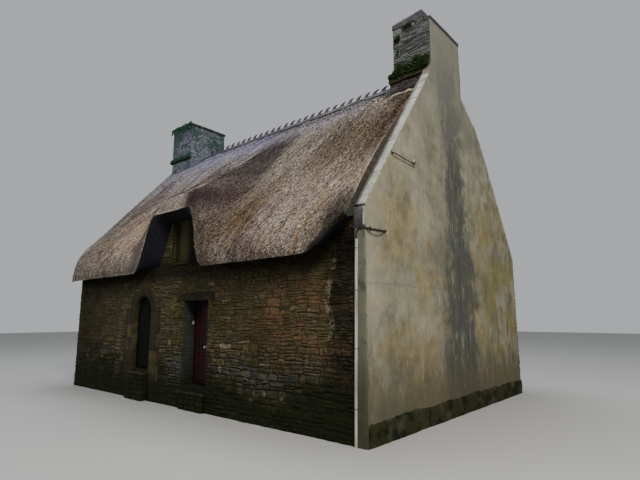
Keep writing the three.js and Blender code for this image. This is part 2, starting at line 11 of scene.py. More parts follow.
import bmesh
import bpy
import numpy as np
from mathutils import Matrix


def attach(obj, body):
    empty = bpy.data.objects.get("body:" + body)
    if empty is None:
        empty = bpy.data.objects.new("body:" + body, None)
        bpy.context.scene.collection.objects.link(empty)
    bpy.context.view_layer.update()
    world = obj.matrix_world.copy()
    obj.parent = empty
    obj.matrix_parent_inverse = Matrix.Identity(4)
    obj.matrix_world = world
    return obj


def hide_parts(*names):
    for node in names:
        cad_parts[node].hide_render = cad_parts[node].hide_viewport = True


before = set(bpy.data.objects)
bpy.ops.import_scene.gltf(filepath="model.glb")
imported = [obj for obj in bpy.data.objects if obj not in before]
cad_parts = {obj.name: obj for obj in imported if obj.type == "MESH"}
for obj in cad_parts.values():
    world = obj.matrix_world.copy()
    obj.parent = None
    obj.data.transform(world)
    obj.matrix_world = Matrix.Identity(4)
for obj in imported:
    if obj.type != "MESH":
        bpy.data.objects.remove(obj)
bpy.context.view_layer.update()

CORNER = np.array([5.170, -3.475, 0.0])

# Sizes of the house
LENGTH = 10.340
DEPTH = 6.950
WALL = 0.650
RIDGE_Y = DEPTH / 2
FLOOR_TOP = 0.430
LOFT_FLOOR = (2.970, 3.000)
LOFT_SILL_Z = 3.120
EAVE_OVERHANG = 0.360
EAVE_TIP_Z = 2.970
EAVE_NOSE = 0.050
SOFFIT_Z = 3.120
UNDER_SLOPE = 1.09
TOP_Z = 3.920
TOP_SLOPE = 1.143
TOP_SLOPE_HIGH = 0.82
HIGH_Y = 2.580
VERGE_OVERHANG = 0.110
CORNER_RISE = 0.550
CORNER_LENGTH = 0.950
VERGE_ROLL = 0.210
HOOD_RISE = 1.330
HOOD_INNER_RISE = 1.080
HOOD_SWELL = 1.050
HOOD_REACH = 2.600
PARAPET = 0.185
COPING = 0.070
KNEELER_Z = 3.765
PLINTH_Z = 0.340
PLINTH_OUT = 0.035
GUARD_FOOT_X = -0.190
GUARD_LEAN = 0.053 / 3.170
BACK_RAKE = [(4.050, 7.100), (4.850, 6.530), (5.300, 5.970), (6.950, 3.500)]
RIGHT_STACK = {"x": (-0.920, 0.0), "y": (2.590, 4.050), "top": 8.400}
RIGHT_FOOT_X = -1.030
RIGHT_DRIP = (7.190, 7.235)
LEFT_STACK = {"x": (-10.170, -9.060), "y": (2.690, 4.070), "top": 8.490}
LEFT_LEDGE_Z = 7.300
STACK_FRONT = RIGHT_STACK["y"][0]
LEFT_FRONT = LEFT_STACK["y"][0]
CAP = 0.080
DOOR = {"x": (-4.930, -4.040), "sill": 0.480, "head": 2.290, "reveal": 0.300}
LINTEL = {"x": (-5.200, -3.820), "top": 2.460}
ARCH = {"centre": -6.710, "half": 0.385, "spring": 2.070, "sill": 0.700, "top": 2.700, "reveal": 0.100}
ARCH_STONE = 0.440
ARCH_RING = ARCH["half"] + 0.235
ARCH_X = (ARCH["centre"] - ARCH["half"] - ARCH_STONE, ARCH["centre"] + ARCH["half"] + ARCH_STONE)
LOFT_DOOR = {"x": (-5.520, -4.800), "back": 0.120}
LEAF = 0.045
CLEAR = 0.007
REBATE = 0.080
BEAM_XS = (-8.600, -5.730, -2.300)
CORNER_INNER_RISE = 0.82 * CORNER_RISE

# Camera and studio
CAMERA_PLACE = (9.375, -9.468, 1.92)
CAMERA_LENS_MM = 26.157
CAMERA_TILT = math.radians(90 + 9.4906)
CAMERA_TURN = math.radians(40.597)
STUDIO_HALF = 60.0
STUDIO_FLOOR_Z = -0.002


# Noise and mesh helpers
def hashed(cells, seed):
    """A fixed value from 0 to 1 for each whole-number cell."""
    mixed = cells[..., 0] * 127.1 + cells[..., 1] * 311.7 + cells[..., 2] * 74.7 + seed * 53.3
    return np.modf(np.abs(np.sin(mixed) * 43758.5453))[0]


def cloud(points, size, seed=0):
    """Smooth noise from -1 to 1, with bumps about size metres across; size may differ along x, y and z."""
    spot = np.asarray(points, float) / np.asarray(size, float) + 500.0
    cell = np.floor(spot)
    part = spot - cell
    part = part * part * (3 - 2 * part)
    total = np.zeros(spot.shape[:-1])
    for corner in itertools.product((0, 1), repeat=3):
        share = np.prod(np.where(corner, part, 1 - part), axis=-1)
        total += share * hashed(cell + corner, seed)
    return 2 * total - 1


def shaken(points, size, by, seed=0):
    """The points moved by up to about by metres, neighbours together."""
    moves = [cloud(points, size, seed + 7 * k) for k in range(3)]
    return points + by * np.stack(moves, axis=-1)


def unit(vectors):
    """The vectors at length 1."""
    return vectors / np.linalg.norm(vectors, axis=-1, keepdims=True)


def along_line(line, knots, places):
    """Points at these places along a line whose corners lie at the knots."""
    return np.stack([np.interp(places, knots, line[:, k]) for k in range(3)], axis=1)


def joined(parts):
    """Several (points, faces) as one, with the number of the part that each point came from."""
    points = np.concatenate([np.asarray(p, float) for p, _ in parts])
    counts = [len(p) for p, _ in parts]
    starts = np.concatenate([[0], np.cumsum(counts)[:-1]])
    faces = []
    for start, (_, part_faces) in zip(starts, parts):
        if isinstance(part_faces, np.ndarray):
            faces.extend((part_faces + start).tolist())
        else:
            faces.extend([[i + int(start) for i in face] for face in part_faces])
    return points, faces, np.repeat(np.arange(len(parts)), counts)


def piece(name, points, faces, finishes, body="house", slot=None, smooth=False, tones=None, uv=None,
          finish_of_face=None, replaces=()):
    """A new mesh piece in the frame. tones is one number a point, uv two numbers a point."""
    mesh = bpy.data.meshes.new(name)
    placed = np.asarray(points, float) + CORNER
    placed[:, 2] = np.maximum(placed[:, 2], 0.0)
    mesh.from_pydata(placed.tolist(), [], faces.tolist() if isinstance(faces, np.ndarray) else faces)
    for finish in finishes:
        mesh.materials.append(finish)
    if finish_of_face is not None:
        mesh.polygons.foreach_set("material_index", np.asarray(finish_of_face, np.int32))
    if smooth:
        mesh.polygons.foreach_set("use_smooth", np.ones(len(mesh.polygons), bool))
    if tones is not None:
        tone = mesh.attributes.new("tone", "FLOAT", "POINT")
        tone.data.foreach_set("value", np.asarray(tones, np.float32))
    if uv is not None:
        corners = np.zeros(len(mesh.loops), np.int32)
        mesh.loops.foreach_get("vertex_index", corners)
        layer = mesh.uv_layers.new(name="slope")
        layer.data.foreach_set("uv", np.asarray(uv, np.float32)[corners].ravel())
    mesh.update()
    made = bpy.data.objects.new(name, mesh)
    bpy.context.scene.collection.objects.link(made)
    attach(made, body)
    if replaces:
        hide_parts(*replaces)


def grid_faces(rows, columns, start=0, flip=False):
    """The faces of a sheet of points, rows by columns."""
    index = start + np.arange(rows * columns).reshape(rows, columns)
    around = [index[:-1, :-1], index[1:, :-1], index[1:, 1:], index[:-1, 1:]]
    faces = np.stack(around, axis=-1).reshape(-1, 4)
    return faces[:, ::-1] if flip else faces


def sheet_piece(name, sheet, finish, flip=False, **more):
    """A smooth piece made of one sheet of points, rows by columns."""
    piece(name, sheet.reshape(-1, 3), grid_faces(*sheet.shape[:2], flip=flip), [finish], smooth=True,
          **more)


def block(low, high, radius=0.010, cell=0.09, wear=0.002, seed=0, grain=0.12):
    """A squared stone or board with rounded arrises and faces worn by about wear metres."""
    low = np.array(low, float)
    high = np.array(high, float)
    radius = min(radius, 0.45 * float((high - low).min()))
    lines = []
    for k in range(3):
        inner = max(1, round((high[k] - low[k] - 2 * radius) / cell))
        middle = np.linspace(low[k] + radius, high[k] - radius, inner + 1)
        lines.append([low[k], low[k] + 0.4 * radius, *middle, high[k] - 0.4 * radius, high[k]])
    points = []
    faces = []
    start = 0
    for axis, (first, second) in enumerate(((1, 2), (2, 0), (0, 1))):
        across, along = np.meshgrid(lines[first], lines[second], indexing="ij")
        for is_high, level in enumerate((low[axis], high[axis])):
            sheet = np.empty(across.shape + (3,))
            sheet[..., axis] = level
            sheet[..., first] = across
            sheet[..., second] = along
            faces.append(grid_faces(*across.shape, start, flip=not is_high))
            points.append(sheet.reshape(-1, 3))
            start += across.size
    points = np.concatenate(points)
    _, first_seen, inverse = np.unique(np.round(points, 6), axis=0, return_index=True, return_inverse=True)
    points = points[first_seen]
    faces = inverse.reshape(-1)[np.concatenate(faces)]
    core = np.clip(points, low + radius, high - radius)
    away = points - core
    points = core + away * (radius / np.linalg.norm(away, axis=1, keepdims=True))
    return shaken(points, grain, wear, seed), faces


def turned(part, axis, angle):
    """The part turned by angle radians round an axis."""
    points, faces = part
    cos, sin = math.cos(angle), math.sin(angle)
    first, second = ((1, 2), (2, 0), (0, 1))[axis]
    moved = points.copy()
    moved[:, first] = cos * points[:, first] - sin * points[:, second]
    moved[:, second] = sin * points[:, first] + cos * points[:, second]
    return moved, faces


def shifted(part, by):
    return part[0] + np.asarray(by, float), part[1]


def plate(outline, thick, place):
    """A flat plate: outline points [a, b], and place(a, b, depth) that gives their points in space."""
    count = len(outline)
    front = [place(a, b, 0.0) for a, b in outline]
    back = [place(a, b, thick) for a, b in outline]
    faces = [list(range(count)), [count + i for i in reversed(range(count))]]
    for i in range(count):
        j = (i + 1) % count
        faces.append([j, i, count + i, count + j])
    return np.array(front + back, float), faces


def round_turns(sides):
    """The angles of the points in a ring."""
    return np.arange(sides) * 2 * math.pi / sides


def ring_faces(rings, sides, closed=False):
    """Quads from each ring of points to the next, and from the last to the first if closed."""
    faces = []
    for ring in range(rings if closed else rings - 1):
        low, high = ring * sides, (ring + 1) % rings * sides
        for i in range(sides):
            j = (i + 1) % sides
            faces.append([low + i, low + j, high + j, high + i])
    return faces


def bar_faces(rings, sides):
    """The faces of a body that is made of rings and closed at both ends."""
    last = (rings - 1) * sides
    return ring_faces(rings, sides) + [list(reversed(range(sides))), list(range(last, last + sides))]


def tube(path, radius, sides=10):
    """A round bar along a path of points; radius may be one number or one for each point."""
    path = np.asarray(path, float)
    radii = np.broadcast_to(np.asarray(radius, float), (len(path),))
    ahead = unit(np.gradient(path, axis=0))
    side = np.cross(ahead[0], (0.0, 0.0, 1.0))
    if np.linalg.norm(side) < 0.1:
        side = np.cross(ahead[0], (0.0, 1.0, 0.0))
    turn = round_turns(sides)
    rings = []
    for spot, forward, reach in zip(path, ahead, radii):
        side = unit(side - forward * (side @ forward))
        other = np.cross(forward, side)
        rings.append(spot + reach * (np.outer(np.cos(turn), side) + np.outer(np.sin(turn), other)))
    return np.concatenate(rings), bar_faces(len(path), sides)


def curve_through(corners, steps):
    """A smooth line from the second of the corners to the last but one, which it leaves out."""
    line = []
    for k in range(1, len(corners) - 2):
        for t in np.arange(steps) / steps:
            shares = (-0.5 * t + t * t - 0.5 * t ** 3, 1 - 2.5 * t * t + 1.5 * t ** 3,
                      0.5 * t + 2 * t * t - 1.5 * t ** 3, 0.5 * t ** 3 - 0.5 * t * t)
            line.append(sum(share * corners[k - 1 + n] for n, share in enumerate(shares)))
    return line


def smooth_path(corners, steps=8):
    """A smooth line through all the corner points."""
    corners = np.asarray(corners, float)
    padded = [2 * corners[0] - corners[1], *corners, 2 * corners[-1] - corners[-2]]
    return np.array(curve_through(padded, steps) + [corners[-1]])


# Finishes
COLOUR = {"data_type": "RGBA"}
TINT = {"data_type": "RGBA", "blend_type": "MULTIPLY"}
SOFT = {"data_type": "RGBA", "blend_type": "SOFT_LIGHT"}
SMOOTH = {"interpolation_type": "SMOOTHSTEP"}
TIMES = {"operation": "MULTIPLY"}
LESS = {"operation": "SUBTRACT"}
TIMES_PLUS = {"operation": "MULTIPLY_ADD"}


def linear(hex_colour):
    """An sRGB hex value as the linear colour that shaders use."""
    channels = [int(hex_colour[i : i + 2], 16) / 255 for i in (1, 3, 5)]
    spread = [c / 12.92 if c <= 0.04045 else ((c + 0.055) / 1.055) ** 2.4 for c in channels]
    return (*spread, 1.0)


def per_mm(*sizes):
    """Pattern scales whose features are about these millimetres across, in metre coordinates."""
    scales = tuple(1000.0 / size for size in sizes)
    return scales if len(scales) > 1 else scales[0]


def output_of(value):
    """A node's first open output, or the output itself."""
    return next(s for s in value.outputs if s.enabled) if isinstance(value, bpy.types.Node) else value


def add(tree, kind, *inputs, stops=(), **settings):
    """Adds one shader node. The inputs fill its open sockets in order: each is a number, a vector, a hex
    colour, a node or an output. stops are a ramp's places with their hex colours or grey values."""
    made = tree.nodes.new("ShaderNode" + kind)
    for setting, value in settings.items():
        setattr(made, setting, value)
    for socket, value in zip([s for s in made.inputs if s.enabled], inputs):
        value = output_of(value)
        if isinstance(value, bpy.types.NodeSocket):
            tree.links.new(value, socket)
        else:
            socket.default_value = linear(value) if isinstance(value, str) else value
    for number, (place, colour) in enumerate(stops):
        elements = made.color_ramp.elements
        element = elements[number] if number < 2 else elements.new(place)
        element.position = place
        element.color = linear(colour) if isinstance(colour, str) else (colour, colour, colour, 1.0)
    return made


def finish(name, roughness, metallic=0.0, ior=1.5):
    """Turns a function (add, spot) into a material. The function gives its colour, its height, the relief
    in metres, and its roughness pattern or None."""
    def made_from(build):
        made = bpy.data.materials.new(name)
        made.use_nodes = True
        tree = made.node_tree
        add_here = functools.partial(add, tree)
        shader = tree.nodes["Principled BSDF"]
        shader.inputs["Roughness"].default_value = roughness
        shader.inputs["Metallic"].default_value = metallic
        shader.inputs["IOR"].default_value = ior
        colour, height, relief, rough = build(add_here, add_here("TexCoord").outputs["Object"])
        tree.links.new(output_of(colour), shader.inputs["Base Color"])
        if rough is not None:
            tree.links.new(output_of(rough), shader.inputs["Roughness"])
        if height is not None:
            bump = add_here("Bump")
            bump.inputs["Distance"].default_value = relief
            tree.links.new(output_of(height), bump.inputs["Height"])
            tree.links.new(bump.outputs["Normal"], shader.inputs["Normal"])
        return made

    return made_from


# Patterns that the finishes share
def drawn_out(add, spot, sizes_mm, detail, roughness):
    """Noise with features of these sizes along x, y and z."""
    return add("TexNoise", add("VectorMath", spot, per_mm(*sizes_mm), **TIMES), 1.0, detail, roughness)


def near(add, value, middle, reach):
    """1 at the middle value, falling to 0 at reach on either side."""
    offset = add("Math", add("Math", value, middle, **LESS), operation="ABSOLUTE")
    return add("MapRange", offset, reach, 0.0, **SMOOTH)


def wandering(add, value, pattern, by):
    """The value moved by a pattern of mean 0.5."""
    return add("Math", add("Math", pattern, 0.5, **LESS), by, value, **TIMES_PLUS)


def region(add, strength, *bounds):
    """A mask of this strength where every bound holds. A bound (value, start, end) grows from 0 at its
    start to 1 at its end, and any other bound is a mask already."""
    mask = strength
    for bound in bounds:
        if isinstance(bound, tuple):
            bound = add("MapRange", *bound, **SMOOTH)
        mask = add("Math", bound, mask, **TIMES)
    return mask


def coated(add, base, *coats):
    """The base with coats over it, in order, each (coat, strength, bounds...). A coat that is a hex colour
    is multiplied in. In brackets, a colour covers, and so does (pattern, dark, light)."""
    for coat, strength, *bounds in coats:
        mask = region(add, strength, *bounds)
        if isinstance(coat, str):
            base = add("Mix", mask, base, coat, **TINT)
        else:
            cover = add("Mix", *coat, **COLOUR) if len(coat) > 1 else coat[0]
            base = add("Mix", mask, base, cover, **COLOUR)
    return base


def own_tone(add):
    """The tone that each point of a piece carries, from 0 to 1."""
    return add("Attribute", attribute_name="tone").outputs["Fac"]


def by_tone(add, dark, middle, light):
    """A colour that follows the tone of the piece."""
    return add("ValToRGB", own_tone(add), stops=[(0.0, dark), (0.5, middle), (1.0, light)])


def shaded(add, base, strength, pattern, *greys):
    """The base darkened and lit by a pattern, by way of a ramp of greys."""
    return add("Mix", strength, base, add("ValToRGB", pattern, stops=greys), **TINT)


def one_pattern(sizes_mm, detail, roughness, relief, *stops):
    """The build of a finish whose colour and height both follow one noise."""
    def build(add, spot):
        noise = drawn_out(add, spot, sizes_mm, detail, roughness)
        return add("ValToRGB", noise, stops=stops), noise, relief, None

    return build


# Pale lime mortar smeared over the joint between the front wall and the gable's end. The ramp holds the
# places (height / 4 m, east / 10 m) that its middle goes through.
def smeared_seam(add, spot, grit):
    east, inward, up = add("SeparateXYZ", spot).outputs
    line = add("ValToRGB", add("Math", up, 0.25, **TIMES), stops=[
        (0.30, 0.430), (0.45, 0.452), (0.55, 0.439), (0.66, 0.452), (0.76, 0.457), (0.84, 0.457),
    ])
    middle = add("Math", line, 10.0, **TIMES)
    broken = add("TexNoise", spot, per_mm(160), 5.0, 0.7)
    close = region(
        add, 1.0, near(add, wandering(add, east, grit, 0.30), middle, 0.105), (up, 1.20, 1.40),
        (up, 3.02, 2.85), (inward, -3.3, -3.4), (broken, 0.46, 0.56), (grit, 0.36, 0.60),
    )
    return region(add, 0.85, (close, 0.10, 0.60))


# Schist rubble: split and hammer-dressed stones in thin layers, smeared with earth mortar. Along the street
# it is olive, brown and grey in broad patches, black-green and damp at the foot and dark in the gable's
# end, with a pale ochre speckle as painted highlight. Painted shade: a dark band under the eave, near black
# beside the loft door under the hood, blue-grey in the door's left reveal, and darker purple-grey on the
# chimney foot under the drip. Grey lichen crusts the chimneys.
@finish("schist_rubble_split", 0.95, ior=1.25)
def schist(add, spot):
    east, inward, up = add("SeparateXYZ", spot).outputs
    layers = drawn_out(add, spot, (130, 130, 26), 6.0, 0.75)
    broad = drawn_out(add, spot, (520, 520, 380), 6.0, 0.65)
    grit = add("TexNoise", spot, per_mm(34), 6.0, 0.75)
    patches = add("TexNoise", spot, per_mm(650), 4.0, 0.55)
    warm_patches = add("TexNoise", spot, per_mm(300), 5.0, 0.55)
    moss_patches = add("TexNoise", spot, per_mm(330), 5.0, 0.6)
    tone = own_tone(add)
    stone = add("ValToRGB", wandering(add, tone, grit, 0.7), stops=[
        (0.00, "#1b1a14"), (0.16, "#353429"), (0.32, "#3d3a26"), (0.47, "#575034"), (0.60, "#3f3c29"),
        (0.74, "#635737"), (0.86, "#5b462e"), (0.94, "#7a6d50"), (1.00, "#a0998a"),
    ])
    smear = add("ValToRGB", broad, stops=[
        (0.32, "#5a594d"), (0.41, "#4c4a2a"), (0.47, "#604c33"), (0.52, "#55532f"), (0.57, "#53534a"),
        (0.63, "#66583a"), (0.70, "#6f5c48"),
    ])
    hazy = add("ValToRGB", add("TexNoise", spot, per_mm(210), 5.0, 0.7), stops=[
        (0.34, "#22333f"), (0.43, "#4a6270"), (0.49, "#666470"), (0.54, "#8a8e98"), (0.60, "#5a5c62"),
        (0.67, "#3d5358"),
    ])
    street = region(add, 1.0, (inward, -3.2, -3.4))
    stone = coated(add, stone, ((smear,), 0.55, street, (up, 0.7, 1.7)))
    stone = shaded(add, stone, 0.95, layers, (0.34, 0.12), (0.50, 0.75), (0.66, 1.5))
    ragged_east = wandering(add, east, add("TexNoise", spot, per_mm(220), 4.0, 0.55), 0.9)
    damp_up = add("Math", patches, -1.5, up, **TIMES_PLUS)
    right_stack = (east, 3.0, 3.6)
    left_stack = region(add, 1.0, (east, -3.0, -3.6), (up, 5.6, 6.6))
    stone = coated(
        add, stone,
        # Painted highlight: pale ochre speckle, standing in for light catching the stones.
        (("#8b8062",), 0.40, (grit, 0.56, 0.70)),
        ("#b0ab6c", 0.6, (patches, 0.48, 0.62)),
        ((grit, "#38261c", "#846249"), 0.8, near(add, east, 3.65, 2.1), near(add, up, 1.95, 1.2),
         (warm_patches, 0.41, 0.57)),
        ((grit, "#1d210f", "#535634"), 0.5, street, near(add, east, 1.9, 1.5), near(add, up, 2.15, 0.9),
         (moss_patches, 0.42, 0.56)),
        ((layers, "#26292a", "#5d6266"), 0.45, street, near(add, up, 0.85, 0.55), (patches, 0.54, 0.46)),
        ((grit, "#1f2010", "#5c5b3a"), 0.8, near(add, east, -0.35, 1.3), (up, 3.02, 3.3), (up, 5.0, 4.6)),
        # Painted shadow of the hood: near black on the wall right of the loft door.
        (("#08080a",), 0.92, street, (east, 0.32, 0.38), (east, 1.5, 1.1), (up, 3.08, 3.16)),
        ("#666864", 0.85, (ragged_east, 4.36, 4.56), (up, 3.6, 3.2)),
        ((grit, "#1b1c10", "#6a6a50"), 0.50, street, (ragged_east, 4.36, 4.56), (up, 3.0, 2.6),
         (layers, 0.50, 0.60)),
        ((grit, "#2a1c12", "#70513a"), 0.36, street, (ragged_east, 4.30, 4.50), (up, 2.3, 2.0),
         (warm_patches, 0.52, 0.60)),
        # Painted shade: the door's left reveal drawn blue-grey, as shade in the recess.
        ((layers, "#14181c", "#3d464e"), 0.75, near(add, east, 0.24, 0.05), (inward, -3.465, -3.45),
         (inward, -3.0, -3.1)),
        # Painted shadow of the eave: a darker band at the top of the street wall.
        ("#5c5a50", 0.85, street, (up, 2.55, 2.95), (up, 3.5, 3.1)),
        ("#868474", 0.75, street, (east, -2.6, -4.9)),
        ((grit, "#020301", "#1f280c"), 0.95, (damp_up, 0.45, -0.40)),
        ((grit, "#12130a", "#4a4826"), 0.65, (east, 5.12, 5.16), (warm_patches, 0.42, 0.56),
         (up, 0.9, 0.5)),
        ((grit, "#23251a", "#5e5d4d"), 0.6, (east, 5.12, 5.16), (moss_patches, 0.50, 0.64), (up, 0.9, 0.5)),
        ((layers, "#4b4c52", "#8c8e8d"), 0.75, (up, 6.4, 7.3), (grit, 0.28, 0.46)),
        ((broad, "#585c57", "#80837d"), 0.92, (east, 4.72, 4.55), (up, 7.2, 7.4), right_stack),
        # Purple-grey stone on the chimney foot, darkened as painted shade under the drip slabs.
        ((layers, "#2a2326", "#5d5052"), 0.75, (up, 7.26, 7.18), (up, 6.3, 6.5), right_stack),
        ((hazy,), 0.75, left_stack),
        ((grit, "#15332a", "#41704f"), 0.75, left_stack, (moss_patches, 0.48, 0.59), (up, 7.0, 8.0)),
        ((grit, "#4a4638", "#8b8570"), 1.0, smeared_seam(add, spot, grit)),
    )
    return stone, add("Math", layers, grit), 0.022, None


# Lime and earth mortar, raked by hand and weathered back from the stones. Inside the rooms the same walls
# are limewashed, which leaves them chalky white.
@finish("lime_mortar_raked", 0.95, ior=1.25)
def mortar(add, spot):
    east, inward, up = add("SeparateXYZ", spot).outputs
    grit = add("TexNoise", spot, per_mm(18), 6.0, 0.7)
    coarse = add("TexNoise", spot, per_mm(34), 6.0, 0.75)
    wash = add("ValToRGB", add("TexNoise", spot, per_mm(380), 6.0, 0.55),
               stops=[(0.3, "#a49c88"), (0.7, "#cfc8b6")])
    room = [
        add("Math", add("Math", value, operation="ABSOLUTE"), size / 2 - WALL + 0.01, operation="LESS_THAN")
        for value, size in ((east, LENGTH), (inward, DEPTH))
    ]
    room.append(add("Math", up, LOFT_FLOOR[0], operation="LESS_THAN"))
    earthy = coated(
        add, add("ValToRGB", grit, stops=[(0.3, "#0b0a06"), (0.7, "#2b2619")]),
        ((grit, "#1c190e", "#454027"), 0.8, (inward, -3.2, -3.4), (up, 0.6, 1.6), (east, 4.50, 4.40),
         (up, 3.0, 2.6)),
        ((grit, "#2c3640", "#4d5862"), 0.8, (up, 6.4, 7.3), (east, -3.0, -3.6)),
        ((grit, "#26282a", "#565c5c"), 0.7, (up, 6.9, 7.4), (east, 3.0, 3.6)),
        (("#6d6856",), 1.0, smeared_seam(add, spot, coarse)),
        ((wash,), 1.0, *room),
    )
    return earthy, grit, 0.004, None


# Lime render, thrown and floated, decades old: beige with rain streaks, a wide soot-grey run under the
# chimney, ochre lichen on the sheltered side and green algae at the foot. Its return to the street is
# painted dark grey as shade, darker and greener still at its foot.
@finish("lime_render_floated", 0.93)
def render(add, spot):
    east, inward, up = add("SeparateXYZ", spot).outputs
    blotches = add("TexNoise", spot, per_mm(1100), 5.0, 0.6)
    yellow = add("TexNoise", spot, per_mm(800), 4.0, 0.55)
    cloudy = add("TexNoise", spot, per_mm(420), 7.0, 0.7)
    greyed = add("TexNoise", spot, per_mm(500), 6.0, 0.65)
    lichen = add("TexNoise", spot, per_mm(620), 5.0, 0.55)
    grit = add("TexNoise", spot, per_mm(9), 4.0, 0.7)
    mottle = drawn_out(add, spot, (170, 170, 330), 6.0, 0.7)
    runs = drawn_out(add, spot, (170, 170, 800), 6.0, 0.7)
    drips = drawn_out(add, spot, (120, 120, 1500), 6.0, 0.7)
    streaky = add("Math", runs, mottle)
    base = add("ValToRGB", blotches, stops=[
        (0.30, "#696654"), (0.48, "#7b7864"), (0.62, "#88836e"), (0.75, "#8f8b7a"),
    ])
    base = coated(add, base, (("#82744f",), 0.75, (yellow, 0.46, 0.62), (up, 5.2, 3.6)))
    base = shaded(add, base, 0.8, cloudy, (0.36, 0.55), (0.50, 0.96), (0.64, 1.26))
    centre = add("ValToRGB", add("Math", up, 0.125, **TIMES), stops=[
        (0.09, 0.55), (0.29, 0.55), (0.45, 0.52), (0.67, 0.42), (0.91, 0.38),
    ])
    middle = add("Math", add("Math", centre, 0.5, **LESS), 2.0, **TIMES)
    middle = wandering(add, middle, add("TexNoise", spot, per_mm(900), 5.0, 0.55), 1.0)
    ragged_inward = wandering(add, wandering(add, inward, cloudy, 1.3), mottle, 0.9)
    low_run = region(add, 1.0, near(add, ragged_inward, middle, 1.35), (up, 4.6, 3.0))
    run = add("Math", near(add, ragged_inward, middle, 0.90), low_run, operation="MAXIMUM")
    sheltered = (inward, 0.4, 2.2)
    street_face_painted_shade = (inward, -3.462, -3.490)
    damp_up = add("Math", mottle, -1.8, up, **TIMES_PLUS)
    joint_up = add("Math", add("Math", blotches, mottle), 0.16, up, **TIMES_PLUS)
    base = coated(
        add, base,
        ("#dfe6d6", 0.5, (greyed, 0.48, 0.60)),
        (("#5d5b4b",), 0.45, (runs, 0.52, 0.70)),
        (("#9a9482",), 0.35, (streaky, 0.94, 0.76)),
        ((mottle, "#8b8672", "#a39d88"), 0.45, (inward, -2.6, -3.4), (up, 1.2, 2.4)),
        ((mottle, "#1a1e1c", "#464a44"), 0.86, (run, 0.0, 0.75), (streaky, 0.66, 1.00), (up, 8.3, 7.0)),
        ((mottle, "#17191a", "#3c4042"), 0.75, (run, 0.15, 0.80), (drips, 0.44, 0.60), (up, 6.5, 5.0)),
        (("#97937f",), 0.42, (run, 0.25, 0.80), (drips, 0.44, 0.34), (streaky, 1.05, 0.90), (up, 5.5, 4.0)),
        ((mottle, "#474841", "#706f65"), 0.75, (up, 4.6, 7.6)),
        ((mottle, "#4e4a27", "#8a8040"), 0.85, (lichen, 0.42, 0.62), sheltered, (up, 5.8, 4.4)),
        (("#3f3f2b",), 0.7, (streaky, 0.98, 1.18), sheltered),
        ((mottle, "#26250f", "#57513a"), 0.80, (damp_up, 0.75, -0.50)),
        (("#4a4838",), 0.6, near(add, joint_up, 2.64, 0.03), mottle),
        (("#45422f",), 0.3, (grit, 0.55, 0.75)),
        # Painted shade: the return to the street drawn dark grey and blotched, darker and greener at its
        # foot.
        ((mottle, "#34352d", "#716f5f"), 0.94, street_face_painted_shade),
        (("#2a2b24",), 0.7, street_face_painted_shade, (cloudy, 0.50, 0.60)),
        ((mottle, "#0e0f07", "#3f3f27"), 0.85, street_face_painted_shade, (damp_up, 1.0, -0.4)),
    )
    return base, add("Math", mottle, 2.6, grit, **TIMES_PLUS), 0.004, None


# Dressed stone, sawn and tooled long ago: fine grain, brown with dirt and damp, algae in patches.
@finish("dressed_stone_tooled", 0.9, ior=1.25)
def dressed(add, spot):
    up = add("SeparateXYZ", spot).outputs["Z"]
    grain = add("TexNoise", spot, per_mm(16), 6.0, 0.75)
    stains = add("TexNoise", spot, per_mm(170), 6.0, 0.7)
    base = by_tone(add, "#1c1a12", "#332e1f", "#544c38")
    base = shaded(add, base, 0.9, stains, (0.36, 0.30), (0.5, 0.85), (0.64, 1.40))
    base = coated(
        add, base,
        (("#5f563f",), 0.4, (grain, 0.52, 0.68)),
        ((stains, "#1d160c", "#4b3a22"), 0.55, (add("TexNoise", spot, per_mm(320), 4.0, 0.55), 0.48, 0.60)),
        (("#26260f",), 0.6, (add("TexNoise", spot, per_mm(230), 4.0, 0.55), 0.47, 0.62)),
        (("#0f1207",), 0.85, (add("Math", stains, -1.2, up, **TIMES_PLUS), 0.45, -0.5)),
    )
    return base, add("Math", grain, stains), 0.012, None


# Coping stone and ledges, sawn slabs bleached by rain, with grey and white lichen spots. The inner part of
# the coping is painted dark grey as shade.
@finish("coping_stone_sawn", 0.88)
def coping_stone(add, spot):
    east = add("SeparateXYZ", spot).outputs["X"]
    grain = add("TexNoise", spot, per_mm(12), 6.0, 0.7)
    bleached = add("TexNoise", spot, per_mm(160), 4.0, 0.55)
    lichen = add("TexVoronoi", spot, per_mm(55))
    ragged_east = wandering(add, east, add("TexNoise", spot, per_mm(200), 4.0, 0.55), 0.05)
    base = add("ValToRGB", bleached, stops=[(0.3, "#787871"), (0.5, "#9a9a91"), (0.75, "#b3b3ab")])
    base = shaded(add, base, 0.45, grain, (0.3, 0.4), (0.7, 1.0))
    base = coated(
        add, base,
        (("#5c5a4b",), 0.6, (lichen, 0.34, 0.17)),
        # Painted shade: the inner part of the coping drawn dark grey.
        ((grain, "#2b2a27", "#55534b"), 0.85, (ragged_east, 5.060, 5.035)),
    )
    return base, grain, 0.002, None


# Roofing slate, split along its layers: blue-grey with a low sheen, dulled by dust and lichen.
@finish("slate_split", 0.8, ior=1.35)
def slate(add, spot):
    split_face = drawn_out(add, spot, (60, 60, 12), 5.0, 0.6)
    base = by_tone(add, "#1f1d21", "#2f2c32", "#625e66")
    base = shaded(add, base, 0.5, split_face, (0.3, 0.5), (0.7, 1.0))
    dust = region(add, 0.2, (add("TexNoise", spot, per_mm(110), 4.0, 0.55), 0.5, 0.7))
    return add("Mix", dust, base, "#8d8a86", **COLOUR), split_face, 0.004, None
